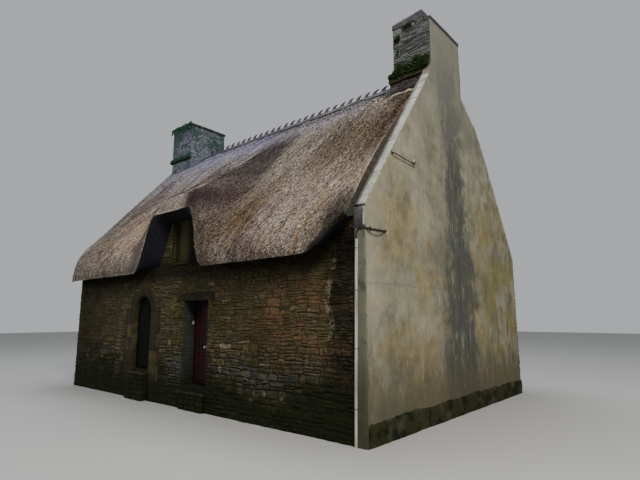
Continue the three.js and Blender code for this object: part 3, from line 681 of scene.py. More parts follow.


# Straw thatch, laid in bundles and combed down the slope, weathered for years: grey-brown with golden,
# purplish and mossy runs. The straws are drawn coarser than real ones, so that they show. Painted light
# brightens patches beside and above the hood and low on either side, and painted shade darkens the right
# corner of the eave.
@finish("straw_thatch_combed", 0.85, ior=1.3)
def thatch(add, spot):
    east, inward, up = add("SeparateXYZ", spot).outputs
    slope = add("UVMap", uv_map="slope")
    straws = drawn_out(add, slope, (19, 62, 1000), 4.0, 0.7)
    stubs = drawn_out(add, slope, (26, 42, 1000), 3.0, 0.7)
    furrows = drawn_out(add, slope, (95, 1500, 1000), 3.0, 0.6)
    golden = drawn_out(add, slope, (60, 170, 1000), 3.0, 0.6)
    runs = drawn_out(add, slope, (520, 3600, 1000), 4.0, 0.6)
    patches = add("TexNoise", spot, per_mm(1300), 4.0, 0.6)
    tone = own_tone(add)
    weight = add("Math", furrows, 0.40, add("Math", add("Math", straws, stubs), 0.80, **TIMES),
                 **TIMES_PLUS)
    weight = wandering(add, weight, tone, 0.76)
    base = add("ValToRGB", add("Math", weight, 0.7, **TIMES), stops=[
        (0.430, "#14110e"), (0.560, "#3e3934"), (0.686, "#716960"), (0.784, "#a79d92"), (0.938, "#e4dcd1"),
    ])
    course = wandering(add, east, runs, 1.6)
    street = (inward, 0.3, -0.2)
    ragged_east = wandering(add, east, stubs, 0.8)
    painted_shade_rim_up = wandering(add, add("Math", east, -0.8, up, **TIMES_PLUS), stubs, 0.20)
    base = coated(
        add, base,
        ("#e6c78f", 0.55, (golden, 0.50, 0.60)),
        ("#c3b4cb", 0.7, (patches, 0.50, 0.62), (course, 4.2, 2.6)),
        ("#d0bb7c", 0.60, (runs, 0.53, 0.66)),
        ("#8a807e", 0.6, (runs, 0.48, 0.36)),
        ("#696163", 0.9, street, (near(add, course, 1.00, 1.10), 0.0, 0.85), (up, 4.9, 5.4), (up, 7.1, 6.4),
         (east, 0.0, 0.6)),
        ("#6c565c", 0.95, street, (near(add, course, 1.05, 1.05), 0.0, 0.7), near(add, up, 4.65, 1.25),
         (east, 0.3, 0.75)),
        ("#ab8d4a", 0.95, street, near(add, course, 2.05, 0.75), near(add, up, 4.0, 1.1)),
        ("#827b6c", 0.85, street, near(add, course, 1.35, 0.7), (up, 4.4, 3.6)),
        ((straws, "#56535a", "#9a979f"), 0.6, (up, 6.2, 6.9), (east, 3.9, 3.0)),
        ("#9c8e66", 0.85, (course, 2.4, 3.3), near(add, up, 5.7, 1.5)),
        # Painted shade: the right corner of the eave and its rim drawn near black, as in shadow.
        ((stubs, "#080807", "#26241d"), 0.80, street, (ragged_east, 4.20, 4.70), (up, 4.30, 3.80)),
        ((stubs, "#060606", "#1f1e1a"), 0.96, street, (painted_shade_rim_up, -0.31, -0.37), (ragged_east, 4.05, 4.30)),
    )
    # Painted light: soft-light patches that brighten the thatch beside the hood, high on the right, low on
    # the left and low on the right.
    pale = region(add, 0.9, (east, 0.75, 0.10), (east, -2.6, -1.6), near(add, up, 4.85, 0.85))
    painted_light_high = region(add, 0.8, (east, 1.0, 0.0), (up, 5.4, 6.2))
    painted_light_left = region(add, 0.9, near(add, east, -2.9, 1.7), near(add, up, 4.1, 1.2))
    low = region(add, 0.36, (east, 1.6, 3.0), (up, 5.4, 4.4))
    for mask, light in (
        (pale, "#f6f0f4"), (pale, "#dcd8e4"), (painted_light_high, "#d4dcf8"), (painted_light_left, "#fff0d8"), (low, "#ddd0c2"),
    ):
        base = add("Mix", mask, base, light, **SOFT)
    base = coated(
        add, base,
        ("#c08a5c", 0.75, (east, 4.0, 4.7), (up, 4.6, 6.2)),
        ((straws, "#15160c", "#45422f"), 0.8, near(add, east, 4.5, 0.6), near(add, up, 6.68, 0.34)),
    )
    return base, weight, 0.016, None


# Cut ends of the straw under the eave and hood, in shade and soot: near black with pale speckle.
@finish("straw_ends_cut", 0.95, ior=1.25)
def straw_ends(add, spot):
    ends = add("TexVoronoi", spot, per_mm(20))
    base = add("ValToRGB", ends, stops=[(0.10, "#302e3a"), (0.40, "#1f1e27"), (0.70, "#0b0b0f")])
    wide = add("TexNoise", spot, per_mm(200), 4.0, 0.55)
    return coated(add, base, (("#1b1920",), 1.0, (wide, 0.5, 0.8))), ends, -0.006, None


# Side of the thatch along the parapet: the layers of straw lie one over the other, brown and damp, and
# drawn near black low down as painted shade.
@finish("straw_side_layered", 0.95)
def straw_side(add, spot):
    up = add("SeparateXYZ", spot).outputs["Z"]
    layers = drawn_out(add, spot, (300, 300, 26), 5.0, 0.7)
    base = add("ValToRGB", layers, stops=[(0.30, "#15120f"), (0.50, "#332c26"), (0.72, "#5b5045")])
    base = coated(
        add, base,
        ((layers, "#3a2516", "#9a6f49"), 1.0, (up, 6.0, 6.8)),
        # Painted shade: near black low down on the side of the thatch.
        ((layers, "#090a08", "#2c2e22"), 0.9, (up, 4.7, 3.9)),
    )
    return base, layers, 0.010, None


# Old softwood boards, sawn and left bare: grey-brown grain along the board, green with algae in patches,
# and painted near black over their right part as the hood's shadow.
@finish("softwood_boards_weathered", 0.92, ior=1.25)
def old_boards(add, spot):
    east = add("SeparateXYZ", spot).outputs["X"]
    rings = drawn_out(add, spot, (9, 9, 320), 5.0, 0.6)
    algae = add("TexNoise", spot, per_mm(300), 4.0, 0.55)
    base = by_tone(add, "#242014", "#38321f", "#4b442d")
    base = shaded(add, base, 0.7, rings, (0.3, 0.35), (0.7, 1.0))
    base = coated(add, base, (("#2c2e14",), 0.6, (algae, 0.46, 0.62)),
                  # Painted shadow of the hood over the right part of the boards.
                  (("#0c0b09",), 0.85, (east, 0.02, 0.26)))
    return base, rings, 0.003, None


# Hewn oak beams and floor boards under the roof, adzed and dusty: brown, with the grain along y.
@finish("oak_hewn", 0.85)
def hewn_oak(add, spot):
    rings = drawn_out(add, spot, (30, 500, 30), 5.0, 0.6)
    base = by_tone(add, "#4a3c2a", "#5f4e38", "#776549")
    return shaded(add, base, 0.65, rings, (0.3, 0.4), (0.7, 1.0)), rings, 0.003, None


# Planks under oil paint, brushed on dark red, faded and rubbed thin along the grain.
@finish("oil_paint_dark_red_brushed", 0.6, ior=1.35)
def red_paint(add, spot):
    grain = drawn_out(add, spot, (8, 8, 400), 4.0, 0.6)
    thin = add("TexNoise", spot, per_mm(150), 5.0, 0.55)
    base = add("ValToRGB", grain, stops=[(0.25, "#12080a"), (0.5, "#260b0e"), (0.8, "#3a1216")])
    rough = add("ValToRGB", grain, stops=[(0.2, 0.42), (0.8, 0.7)])
    return coated(add, base, (("#3a2722",), 0.5, (thin, 0.58, 0.7))), grain, 0.0015, rough


# Planks stained near black, weathered to a dry matt surface with grey along the grain.
black_stain = finish("planks_stained_black", 0.9, ior=1.2)(one_pattern(
    (9, 9, 450), 5.0, 0.65, 0.003, (0.3, "#070606"), (0.6, "#121010"), (0.85, "#24201e"),
))


# Stone flags, split and foot-worn, swept but dusty.
@finish("stone_flags_worn", 0.8)
def flags(add, spot):
    worn = add("TexNoise", spot, per_mm(60), 6.0, 0.65)
    base = by_tone(add, "#5b564b", "#6e685a", "#857e6d")
    return shaded(add, base, 0.5, worn, (0.3, 0.5), (0.7, 1.0)), worn, 0.002, None


# Wrought iron, forged: dull black scale with brown rust coming through.
iron = finish("wrought_iron_forged", 0.7, metallic=0.2)(one_pattern(
    (12, 12, 12), 5.0, 0.7, 0.0008, (0.35, "#0b0a09"), (0.58, "#191513"), (0.78, "#3a2418"),
))


# PVC cable guard, extruded: white, matt from weather, with grey dirt running down it.
pvc = finish("pvc_extruded_white", 0.5)(one_pattern(
    (25, 25, 600), 4.0, 0.6, 0.0003, (0.35, "#7b7b72"), (0.6, "#adada3"), (0.8, "#c2c2b8"),
))


# Nickel plate on a cast brass knob: bright, with faint rubbing.
@finish("nickel_plate_rubbed", 0.3, metallic=1.0)
def nickel(add, spot):
    rubbed = add("TexNoise", spot, per_mm(20), 3.0, 0.55)
    base = add("ValToRGB", rubbed, stops=[(0.3, "#b9b5aa"), (0.7, "#dcd9d0")])
    return base, None, 0.0, add("ValToRGB", rubbed, stops=[(0.3, 0.22), (0.7, 0.4)])


# Cushion moss: soft tufts from dark to bright yellow-green, bluer on the left chimney.
@finish("cushion_moss", 0.95)
def moss(add, spot):
    east = add("SeparateXYZ", spot).outputs["X"]
    tufts = add("TexNoise", spot, per_mm(10), 6.0, 0.8)
    base = add("ValToRGB", tufts, stops=[(0.3, "#0a1005"), (0.5, "#18240d"), (0.7, "#35491c")])
    return coated(add, base, ((tufts, "#0b1f1a", "#2c5a49"), 1.0, (east, -3.0, -3.6))), tufts, 0.012, None


# Lime mortar fillets, trowelled where the roof meets the stones: cream, cracked and dirty.
fillet_mortar = finish("lime_mortar_trowelled", 0.95)(one_pattern(
    (35, 35, 35), 6.0, 0.7, 0.006, (0.32, "#5d584b"), (0.50, "#8f8a7a"), (0.68, "#b5b0a0"),
))


# Sheet lead, dressed by hand: dull blue-grey with a pale bloom, drawn darker as painted shade by the
# chimney.
lead = finish("sheet_lead_dressed", 0.55)(one_pattern(
    (90, 90, 90), 5.0, 0.65, 0.004, (0.3, "#232938"), (0.55, "#363e52"), (0.75, "#515b72"),
))


# Cement render on the parapet's end over the street: purple-grey, darker above 5 m and at its foot.
@finish("cement_render_weathered", 0.93)
def cement(add, spot):
    up = add("SeparateXYZ", spot).outputs["Z"]
    blotch = add("TexNoise", spot, per_mm(70), 6.0, 0.7)
    base = add("ValToRGB", blotch, stops=[(0.3, "#2f2b31"), (0.5, "#4d484e"), (0.72, "#6c676b")])
    base = coated(add, base, (("#1c1b20",), 0.7, (up, 5.0, 6.0)), (("#1c1b20",), 0.7, (up, 3.66, 3.42)))
    return base, blotch, 0.004, None


# Leaves of moss and small weeds in the tufts, from black-green to fresh green, bluer on the left chimney.
@finish("moss_leaves", 0.7)
def leaf_green(add, spot):
    east = add("SeparateXYZ", spot).outputs["X"]
    tone = own_tone(add)
    base = add("ValToRGB", tone, stops=[
        (0.0, "#0c1407"), (0.45, "#1c3010"), (0.75, "#34551a"), (1.0, "#6a9034"),
    ])
    return coated(add, base, ((tone, "#0c211b", "#3c7a5e"), 1.0, (east, -3.0, -3.6))), None, 0.0, None


# Glazed porcelain insulators: white with a clear glassy glaze.
@finish("porcelain_glazed", 0.15)
def porcelain(add, spot):
    film = add("TexNoise", spot, per_mm(30), 3.0, 0.55)
    return add("ValToRGB", film, stops=[(0.3, "#8f8c80"), (0.7, "#b5b2a7")]), None, 0.0, None


# Camera, floor and light
def place_camera():
    lens = bpy.data.cameras.new("street_camera")
    lens.sensor_width = 36.0
    lens.lens = CAMERA_LENS_MM
    camera = bpy.data.objects.new("street_camera", lens)
    camera.location = CAMERA_PLACE
    camera.rotation_euler = (CAMERA_TILT, 0.0, CAMERA_TURN)
    bpy.context.scene.collection.objects.link(camera)
    bpy.context.scene.camera = camera


def lay_floor():
    mesh = bpy.data.meshes.new("studio_floor")
    signs = ((-1, -1), (1, -1), (1, 1), (-1, 1))
    corners = [(a * STUDIO_HALF, b * STUDIO_HALF, STUDIO_FLOOR_Z) for a, b in signs]
    mesh.from_pydata(corners, [], [(0, 1, 2, 3)])
    plain = bpy.data.materials.new("studio_floor_pale")
    plain.use_nodes = True
    shader = plain.node_tree.nodes["Principled BSDF"]
    shader.inputs["Base Color"].default_value = linear("#a3a3a1")
    shader.inputs["Roughness"].default_value = 0.9
    mesh.materials.append(plain)
    floor = bpy.data.objects.new("studio_floor", mesh)
    bpy.context.scene.collection.objects.link(floor)


def hang_light(name, place, target, size, power, colour):
    lamp = bpy.data.lights.new(name, "AREA")
    lamp.shape = "DISK"
    lamp.size = size
    lamp.energy = power
    lamp.color = linear(colour)[:3]
    made = bpy.data.objects.new(name, lamp)
    made.location = place
    away = np.array(place, float) - np.array(target, float)
    flat = math.hypot(away[0], away[1])
    made.rotation_euler = (math.atan2(flat, away[2]), 0.0, math.atan2(away[0], -away[1]))
    bpy.context.scene.collection.objects.link(made)


def light_studio():
    world = bpy.data.worlds.new("studio")
    world.use_nodes = True
    sky = world.node_tree.nodes["Background"]
    sky.inputs["Color"].default_value = linear("#eef1f5")
    sky.inputs["Strength"].default_value = 0.55
    bpy.context.scene.world = world
    hang_light("key_right", (15.0, -11.0, 15.0), (1.0, 0.0, 3.0), 6.0, 4000.0, "#fffaf2")
    hang_light("top_soft", (-2.0, 1.0, 22.0), (0.0, 0.0, 3.0), 12.0, 2600.0, "#f3f6ff")
    hang_light("fill_left", (-16.0, -14.0, 8.0), (-2.0, 0.0, 3.0), 8.0, 500.0, "#f3f6ff")


place_camera()
lay_floor()
light_studio()


# Shape of the thatch, as in the part
def ease(t):
    t = np.clip(t, 0.0, 1.0)
    return t * t * (3 - 2 * t)


def rises(x, a, b, c, d):
    return ease((x - a) / (b - a)) * (1 - ease((x - c) / (d - c)))


def tip_lift(x):
    return HOOD_RISE * rises(x, -6.62, -5.80, -4.40, -3.85)


def under_lift(x):
    return HOOD_INNER_RISE * rises(x, -6.10, -5.50, -4.70, -4.15)


def hood_swell(x):
    return HOOD_SWELL * rises(x, -6.95, -5.65, -4.55, -3.50)


def corner_sweep(x):
    return ease((x + PARAPET + CORNER_LENGTH) / CORNER_LENGTH) ** 1.4


def soffit_z(x, hooded=True):
    """Height of the underside over the outer face of the long walls."""
    lift = under_lift(x) if hooded else 0.0
    return SOFFIT_Z + lift + CORNER_INNER_RISE * corner_sweep(x)


def top_z(y):
    low = TOP_Z + TOP_SLOPE * y - 1.2 * np.where(y < 0, y * y, 0.0)
    high = TOP_Z + TOP_SLOPE * HIGH_Y + TOP_SLOPE_HIGH * (y - HIGH_Y)
    return np.where(y < HIGH_Y, low, high)


# The straw is combed a little to the left on its way down
LEAN = 0.28


def up_slope(y):
    return np.maximum(0.0, (2.3 - y) / HOOD_REACH) ** 1.3


def thatch_sheet(stations, hooded, step):
    """Points of one slope, stations by rows: the underside from the ridge out to the eave tip, then the
    upper surface from the tip back to the ridge. Also gives the row of the tip and the slope lengths."""
    x = stations[:, None]
    corner = corner_sweep(x)
    tip_z = EAVE_TIP_Z + (tip_lift(x) if hooded else 0.0) + CORNER_RISE * corner
    left_end = 1 - ease((x + LENGTH + VERGE_OVERHANG) / 0.9)
    edge_y = -EAVE_OVERHANG + 0.160 * corner + 0.090 * left_end
    hood = tip_lift(x) / HOOD_RISE if hooded else 0.0 * x
    under_y = np.linspace(RIDGE_Y, 0.0, 26)[None, :]
    under_rise = (under_lift(x) if hooded else 0.0) + CORNER_INNER_RISE * corner
    under_z = np.maximum(SOFFIT_Z + UNDER_SLOPE * under_y, SOFFIT_Z + under_rise)
    out = np.array([0.25, 0.5, 0.75])[None, :]
    to_tip_y = edge_y * out
    to_tip_z = under_z[:, -1:] * (1 - out) + tip_z * out
    top_y = np.arange(-0.300, RIDGE_Y, step)[None, :]
    top_y = np.append(top_y, [[RIDGE_Y]], axis=1)
    reach_y = np.where(top_y < 0, top_y * (1 - 0.35 * hood) * -edge_y / EAVE_OVERHANG, top_y)
    near_verge = ease((x + PARAPET + 0.52) / 0.52)
    roll = VERGE_ROLL * near_verge * np.sin(math.pi * np.clip(top_y / HIGH_Y, 0, 1))
    swell = hood_swell(x) * up_slope(top_y) if hooded else 0.0
    upper_z = top_z(reach_y) + swell + roll
    run = (reach_y[:, :1] - edge_y, upper_z[:, :1] - tip_z)
    nose = ((1 - hood) * (edge_y - EAVE_NOSE) + hood * (edge_y + 0.33 * run[0]),
            (1 - hood) * np.minimum(tip_z + 0.120, upper_z[:, :1] - 0.150) + hood * (tip_z + 0.33 * run[1]))
    brow = ((1 - hood) * (edge_y - 0.025) + hood * (edge_y + 0.66 * run[0]),
            (1 - hood) * np.minimum(tip_z + 0.290, upper_z[:, :1] - 0.090) + hood * (tip_z + 0.66 * run[1]))
    corners_y = [edge_y + 0.03, edge_y, nose[0], brow[0], reach_y[:, :1], reach_y[:, 3:4]]
    corners_z = [tip_z - 0.10, tip_z, nose[1], brow[1], upper_z[:, :1], upper_z[:, 3:4]]
    full_under_y = np.broadcast_to(under_y, under_z.shape)
    y = np.concatenate([full_under_y, to_tip_y, *curve_through(corners_y, 6), reach_y], axis=1)
    z = np.concatenate([under_z, to_tip_z, *curve_through(corners_z, 6), upper_z], axis=1)
    points = np.stack([np.broadcast_to(x, y.shape), y, z], axis=-1)
    tip_row = under_z.shape[1] + to_tip_y.shape[1]
    steps = np.linalg.norm(np.diff(points, axis=1), axis=2)
    lengths = np.concatenate([np.zeros((len(points), 1)), np.cumsum(steps, axis=1)], axis=1)
    return points, tip_row, lengths - lengths[:, tip_row : tip_row + 1]


def weather_thatch(points, tip_row, lengths, seed):
    """Lumps, combed furrows and a ragged eave, moved along the surface's own normal."""
    across = np.gradient(points, axis=0)
    upward = np.gradient(points, axis=1)
    normal = unit(np.cross(across, upward))
    place = np.stack([points[..., 0], lengths, np.full(lengths.shape, float(seed))], axis=-1)
    lump = 0.020 * cloud(place, (0.8, 1.3, 1), seed) + 0.010 * cloud(place, (0.30, 0.6, 1), seed + 1)
    combed = place - (LEAN * lengths)[..., None] * (1, 0, 0)
    furrow = 0.009 * cloud(combed, (0.085, 0.60, 1), seed + 2)
    furrow += 0.006 * cloud(combed, (0.05, 0.12, 1), seed + 3)
    rows = np.arange(points.shape[1])
    upper = np.clip((rows - tip_row) / 5, 0, 1) * np.clip((len(rows) - 1 - rows) / 5, 0, 1)
    left_round = 0.07 * (1 - ease((points[..., 0] + LENGTH + VERGE_OVERHANG) / 0.16))
    moved = points + normal * ((lump + furrow - left_round) * upper)[..., None]
    ragged = 0.005 * cloud(place, (0.06, 1, 1), seed + 4) + 0.008 * cloud(place, (0.35, 1, 1), seed + 5)
    at_tip = np.clip(1 - np.abs(rows - tip_row) / 3, 0, 1)
    moved[..., 2] += ragged * at_tip
    return moved, normal


def in_chimney(points):
    """True where a point lies well inside a chimney, so that the roof isn't drawn there."""
    x, y = points[..., 0], points[..., 1]
    inside = np.zeros(x.shape, bool)
    for (x0, x1), (y0, y1) in (((RIGHT_FOOT_X, 0.0), RIGHT_STACK["y"]), (LEFT_STACK["x"], LEFT_STACK["y"])):
        inside |= (x > x0 + 0.04) & (x < x1 - 0.04) & (y > y0 + 0.04) & (y < y1 - 0.04)
    return inside


def straws_on(points, normal, tip_row, rng, count, rows_long, from_row, width):
    """Loose straws lying down the slope and lifting a little at their lower ends."""
    stations, rows = points.shape[:2]
    root_i = rng.uniform(1, stations - 3, count)
    root_j = rng.uniform(from_row, rows - 4, count)
    drift = rng.normal(-LEAN * rows_long * 2.0, 0.6, count)
    long = rng.uniform(0.6, 1.3, count) * rows_long
    rise = rng.uniform(0.008, 0.026, count)
    wide = rng.uniform(0.6, 1.4, count) * width
    strips = []
    for share, lift, narrow in ((0.0, -0.5, 0.7), (0.55, 0.6, 1.0), (1.0, 1.0, 0.6)):
        i = np.clip(root_i + drift * share, 0, stations - 2.001)
        j = root_j - long * share
        inside = np.clip(j, tip_row, rows - 2.001)
        i0, j0 = i.astype(int), inside.astype(int)
        fi, fj = (i - i0)[:, None], (inside - j0)[:, None]
        spot = (points[i0, j0] * (1 - fi) * (1 - fj) + points[i0 + 1, j0] * fi * (1 - fj)
                + points[i0, j0 + 1] * (1 - fi) * fj + points[i0 + 1, j0 + 1] * fi * fj)
        past = np.clip(tip_row - j, 0, None)[:, None]
        outward = unit(points[i0, tip_row] - points[i0, tip_row + 3])
        spot = spot + outward * past * 0.012 + normal[i0, j0] * (rise * lift)[:, None]
        aside = unit(points[i0 + 1, j0] - points[i0, j0])
        half = (wide * narrow / 2)[:, None]
        strips += [spot - aside * half, spot + aside * half]
    blade = np.stack(strips, axis=1).reshape(-1, 3)
    first = 6 * np.arange(count)[:, None]
    faces = np.concatenate([first + [0, 1, 3, 2], first + [2, 3, 5, 4]])
    keep = ~in_chimney(blade[faces].mean(axis=1))
    tone = np.repeat(rng.beta(1.0, 1.1, count), 6)
    uv = np.stack([blade[:, 0] - LEAN * blade[:, 1] * 1.5, blade[:, 1] * 1.5], axis=1)
    return blade, faces[keep], tone, uv


def across_back(points):
    """Mirrors points from the front slope to the back slope."""
    return points * (1, -1, 1) + (0, DEPTH, 0)


def thatch_slope(side, hooded, spacing, step, straw_count, seed):
    left, right = -LENGTH - VERGE_OVERHANG, -PARAPET - 0.001
    stations = np.linspace(left, right, round((right - left) / spacing))
    points, tip_row, lengths = thatch_sheet(stations, hooded, step)
    points, normal = weather_thatch(points, tip_row, lengths, seed)
    rows = points.shape[1]
    faces = grid_faces(len(stations), rows)
    keep = ~in_chimney(points.reshape(-1, 3)[faces].mean(axis=1))
    row_of_face = np.tile(np.arange(rows - 1), len(stations) - 1)
    which = np.where(row_of_face < tip_row, 1, 0)[keep]
    faces = faces[keep]
    all_points = [points.reshape(-1, 3)]
    all_uv = [np.stack([points[..., 0] - LEAN * lengths, lengths], axis=-1).reshape(-1, 2)]
    start = len(all_points[0])
    for end, flip in ((0, False), (-1, True)):
        upper = points[end, tip_row:]
        under = points[end, : tip_row + 1][::-1]
        places = np.linspace(0, len(under) - 1, len(upper))
        beneath = along_line(under, np.arange(len(under)), places)
        shares = np.linspace(0, 1, 5)[None, :, None]
        cap = upper[:, None] * (1 - shares) + beneath[:, None] * shares
        cap[:, 1:-1, 0] += (0.012 if end else -0.012) * cloud(cap[:, 1:-1], 0.10, seed + 9)
        all_points.append(cap.reshape(-1, 3))
        all_uv.append(cap[..., 1:].reshape(-1, 2))
        cap_faces = grid_faces(*cap.shape[:2], start, flip)
        cap_faces = cap_faces[~in_chimney(np.concatenate(all_points)[cap_faces].mean(axis=1) + (0.3, 0, 0))]
        faces = np.concatenate([faces, cap_faces])
        which = np.concatenate([which, np.full(len(cap_faces), 2 if end else 1)])
        start += len(all_points[-1])
    all_points = np.concatenate(all_points)
    all_uv = np.concatenate(all_uv)
    rng = np.random.default_rng(seed)
    blades, blade_faces, tone, uv = straws_on(points, normal, tip_row, rng, straw_count, 0.066 / step / 1.5,
                                              tip_row + 4, 0.0125)
    turn = (lambda p: p) if side == "front" else across_back
    order = slice(None) if side == "front" else slice(None, None, -1)
    piece(f"thatch_{side}_combed", turn(all_points), faces[:, order], [thatch, straw_ends, straw_side],
          slot="thatch", smooth=True, tones=np.full(len(all_points), 0.5), uv=all_uv, finish_of_face=which,
          replaces=[f"thatch_{side}"])
    piece(f"straws_{side}", turn(blades), blade_faces[:, order], [thatch], slot="thatch", tones=tone, uv=uv)


thatch_slope("front", True, 0.024, 0.038, 45000, 11)
thatch_slope("back", False, 0.040, 0.058, 17000, 31)


# Rubble walls, stone by stone
# Each face of a wall is a start in plan and the way along it, with the outside on the right
FRONT = ((0.0, 0.0), (1.0, 0.0))
BACK = ((0.0, DEPTH), (-1.0, 0.0))
PARTY = ((-LENGTH, 0.0), (0.0, -1.0))
POINTS_PER_RING = 10
POINTS_PER_STONE = 3 * POINTS_PER_RING


def cut_heights(rng, low, high, thin, thick):
    """Random levels that part low to high into courses between thin and thick."""
    count = max(1, round((high - low) / rng.uniform(thin, thick)))
    spread = np.arange(1, count) + rng.uniform(-0.28, 0.28, count - 1)
    return np.concatenate([[low], low + (high - low) * spread / count, [high]])


def lay_courses(rng, spans, levels, course=(0.10, 0.19), length=(0.16, 0.50), thin=(0.035, 0.075),
                big=0.22):
    """Stones as [a0, a1, z0, z1]: courses between the levels, each cut into blocks or thin layers.
    spans(z0, z1) gives the stretches of wall that a course may fill."""
    stones = []
    for low, high in itertools.pairwise(levels):
        cuts = cut_heights(rng, low, high, *course)
        for z0, z1 in itertools.pairwise(cuts):
            for a0, a1 in spans(z0, z1):
                a = a0
                while a < a1 - 1e-6:
                    b = a + rng.uniform(*length)
                    b = a1 if a1 - b < 0.6 * length[0] else b
                    if rng.random() < big and z1 - z0 < 0.18:
                        stones.append((a, b, z0, z1))
                        a = b
                        continue
                    layers = cut_heights(rng, z0, z1, *thin)
                    for s0, s1 in itertools.pairwise(layers):
                        if b - a > 0.28 and rng.random() < 0.6:
                            middle = a + (b - a) * rng.uniform(0.3, 0.7)
                            stones += [(a, middle, s0, s1), (middle, b, s0, s1)]
                        else:
                            stones.append((a, b, s0, s1))
                    a = b
    return np.array(stones)


def without(stretches, hole):
    """The stretches with a hole cut out."""
    left = []
    for a0, a1 in stretches:
        if hole[1] <= a0 or hole[0] >= a1:
            left.append((a0, a1))
            continue
        if hole[0] - a0 > 0.02:
            left.append((a0, hole[0]))
        if a1 - hole[1] > 0.02:
            left.append((hole[1], a1))
    return left


def split_stones(rng, stones, face, joint=0.014, proud=(0.004, 0.024), wave=0.030):
    """Each rectangle as a split stone with broken corners, a little proud of the wall."""
    a0, a1, z0, z1 = (stones + np.array([1, -1, 1, -1]) * joint / 2).T
    count = len(stones)
    size = np.minimum(a1 - a0, z1 - z0)
    cut = np.minimum(0.48 * size, 0.045)[:, None] * rng.uniform(0.2, 1.0, (count, 8))
    left, right = a0[:, None], a1[:, None]
    low, high = z0[:, None], z1[:, None]
    middle_a, middle_z = (left + right) / 2, (low + high) / 2
    turns = np.hsplit(middle_a + (right - left) * rng.uniform(-0.22, 0.22, (count, 2)), 2)
    c = np.hsplit(cut, 8)
    across = np.hstack([
        left + c[0], turns[0], right - c[1], right, right, right - c[2], turns[1], left + c[3], left, left,
    ])
    height = np.hstack([
        low, low, low, low + c[4], high - c[5], high, high, high, high - c[6], low + c[7],
    ])
    jitter = np.minimum(0.16 * size, 0.011)[:, None]
    across = across + jitter * rng.uniform(-1, 1, across.shape)
    height = height + jitter * rng.uniform(-1, 1, height.shape)
    height = height + rng.uniform(-0.022, 0.022, (count, 1)) * (across - middle_a)
    bevel = np.minimum(0.28 * size, 0.022)[:, None]
    shrink = 1 - bevel / (high - low) * 2
    crown_a = np.clip(across, left + bevel, right - bevel)
    crown_z = middle_z + (height - middle_z) * shrink
    stand = rng.uniform(*proud, count)[:, None]
    lean = rng.uniform(-0.12, 0.12, (count, 1)) * (height - middle_z)
    swing = rng.uniform(-0.03, 0.03, (count, 1)) * (across - middle_a)
    rings_a = np.stack([across, across, crown_a], axis=1)
    rings_z = np.stack([height, height, crown_z], axis=1)
    rough = rng.uniform(-0.004, 0.003, across.shape)
    rings_out = np.stack([
        np.full(across.shape, -0.014), stand * rng.uniform(0.1, 0.5, (count, 1)) + 0 * across,
        stand + lean + swing + rough,
    ], axis=1)
    flat = np.stack([rings_a, rings_z, np.zeros(rings_a.shape)], axis=-1)
    bend_a = 0.009 * cloud(flat, (0.16, 0.10, 1), 13)
    bend_z = wave * cloud(flat, (0.65, 0.30, 1), 3) + 0.012 * cloud(flat, (0.22, 0.12, 1), 14)
    rings_a = rings_a + bend_a
    rings_z = np.maximum(rings_z + bend_z, 0.0)
    start, along = np.array(face)
    out = np.array([along[1], -along[0]])
    plan = start + rings_a[..., None] * along + rings_out[..., None] * out
    points = np.concatenate([plan, rings_z[..., None]], axis=-1).reshape(-1, 3)
    top = np.array([[9, 0, 7, 8], [0, 1, 6, 7], [1, 2, 5, 6], [2, 3, 4, 5]]) + 2 * POINTS_PER_RING
    stone_faces = np.concatenate([ring_faces(3, POINTS_PER_RING), top])
    faces = (POINTS_PER_STONE * np.arange(count)[:, None, None] + stone_faces).reshape(-1, 4)
    return points, faces


def stone_tones(rng, stones, shade=None):
    """A tone for each point of each stone. shade(a, z) may move a stone towards a given tone."""
    tone = rng.beta(1.6, 1.8, len(stones))
    if shade is not None:
        aim, pull = shade(stones[:, :2].mean(axis=1), stones[:, 2:].mean(axis=1))
        tone = tone * (1 - pull) + aim * pull
    speckle = rng.normal(0, 0.07, POINTS_PER_STONE * len(stones))
    return np.clip(np.repeat(tone, POINTS_PER_STONE) + speckle, 0, 1)


def rubble(name, face, spans, levels, seed, shade=None, proud=(0.004, 0.024), joint=0.014, **laying):
    """Split stones laid over a face of a wall, as one piece."""
    rng = np.random.default_rng(seed)
    stones = lay_courses(rng, spans, levels, **laying)
    points, faces = split_stones(rng, stones, face, joint, proud)
    piece(name, points, faces, [schist], slot="rubble", tones=stone_tones(rng, stones, shade))


def under_soffit(z, hooded):
    """The stretches of a long wall whose top is above z."""
    xs = np.linspace(-LENGTH, -PARAPET, 500)
    clear = soffit_z(xs, hooded) > z
    edges = np.flatnonzero(np.diff(np.concatenate([[False], clear, [False]]).astype(int)))
    return [(xs[a], xs[b - 1]) for a, b in zip(edges[::2], edges[1::2])]


OUT = 0.012
SEAM = [(0.0, -0.80), (1.35, -0.87), (1.80, -0.65), (2.21, -0.78), (2.62, -0.65), (3.03, -0.60),
        (3.4, -0.60)]


def seam_x(z):
    """The joint between the gable's end and the front wall, in small steps to either side."""
    step = hashed(np.array([math.floor(z / 0.13), 1.0, 2.0]), 5)
    return np.interp(z, *zip(*SEAM)) + 0.06 * (step - 0.5)


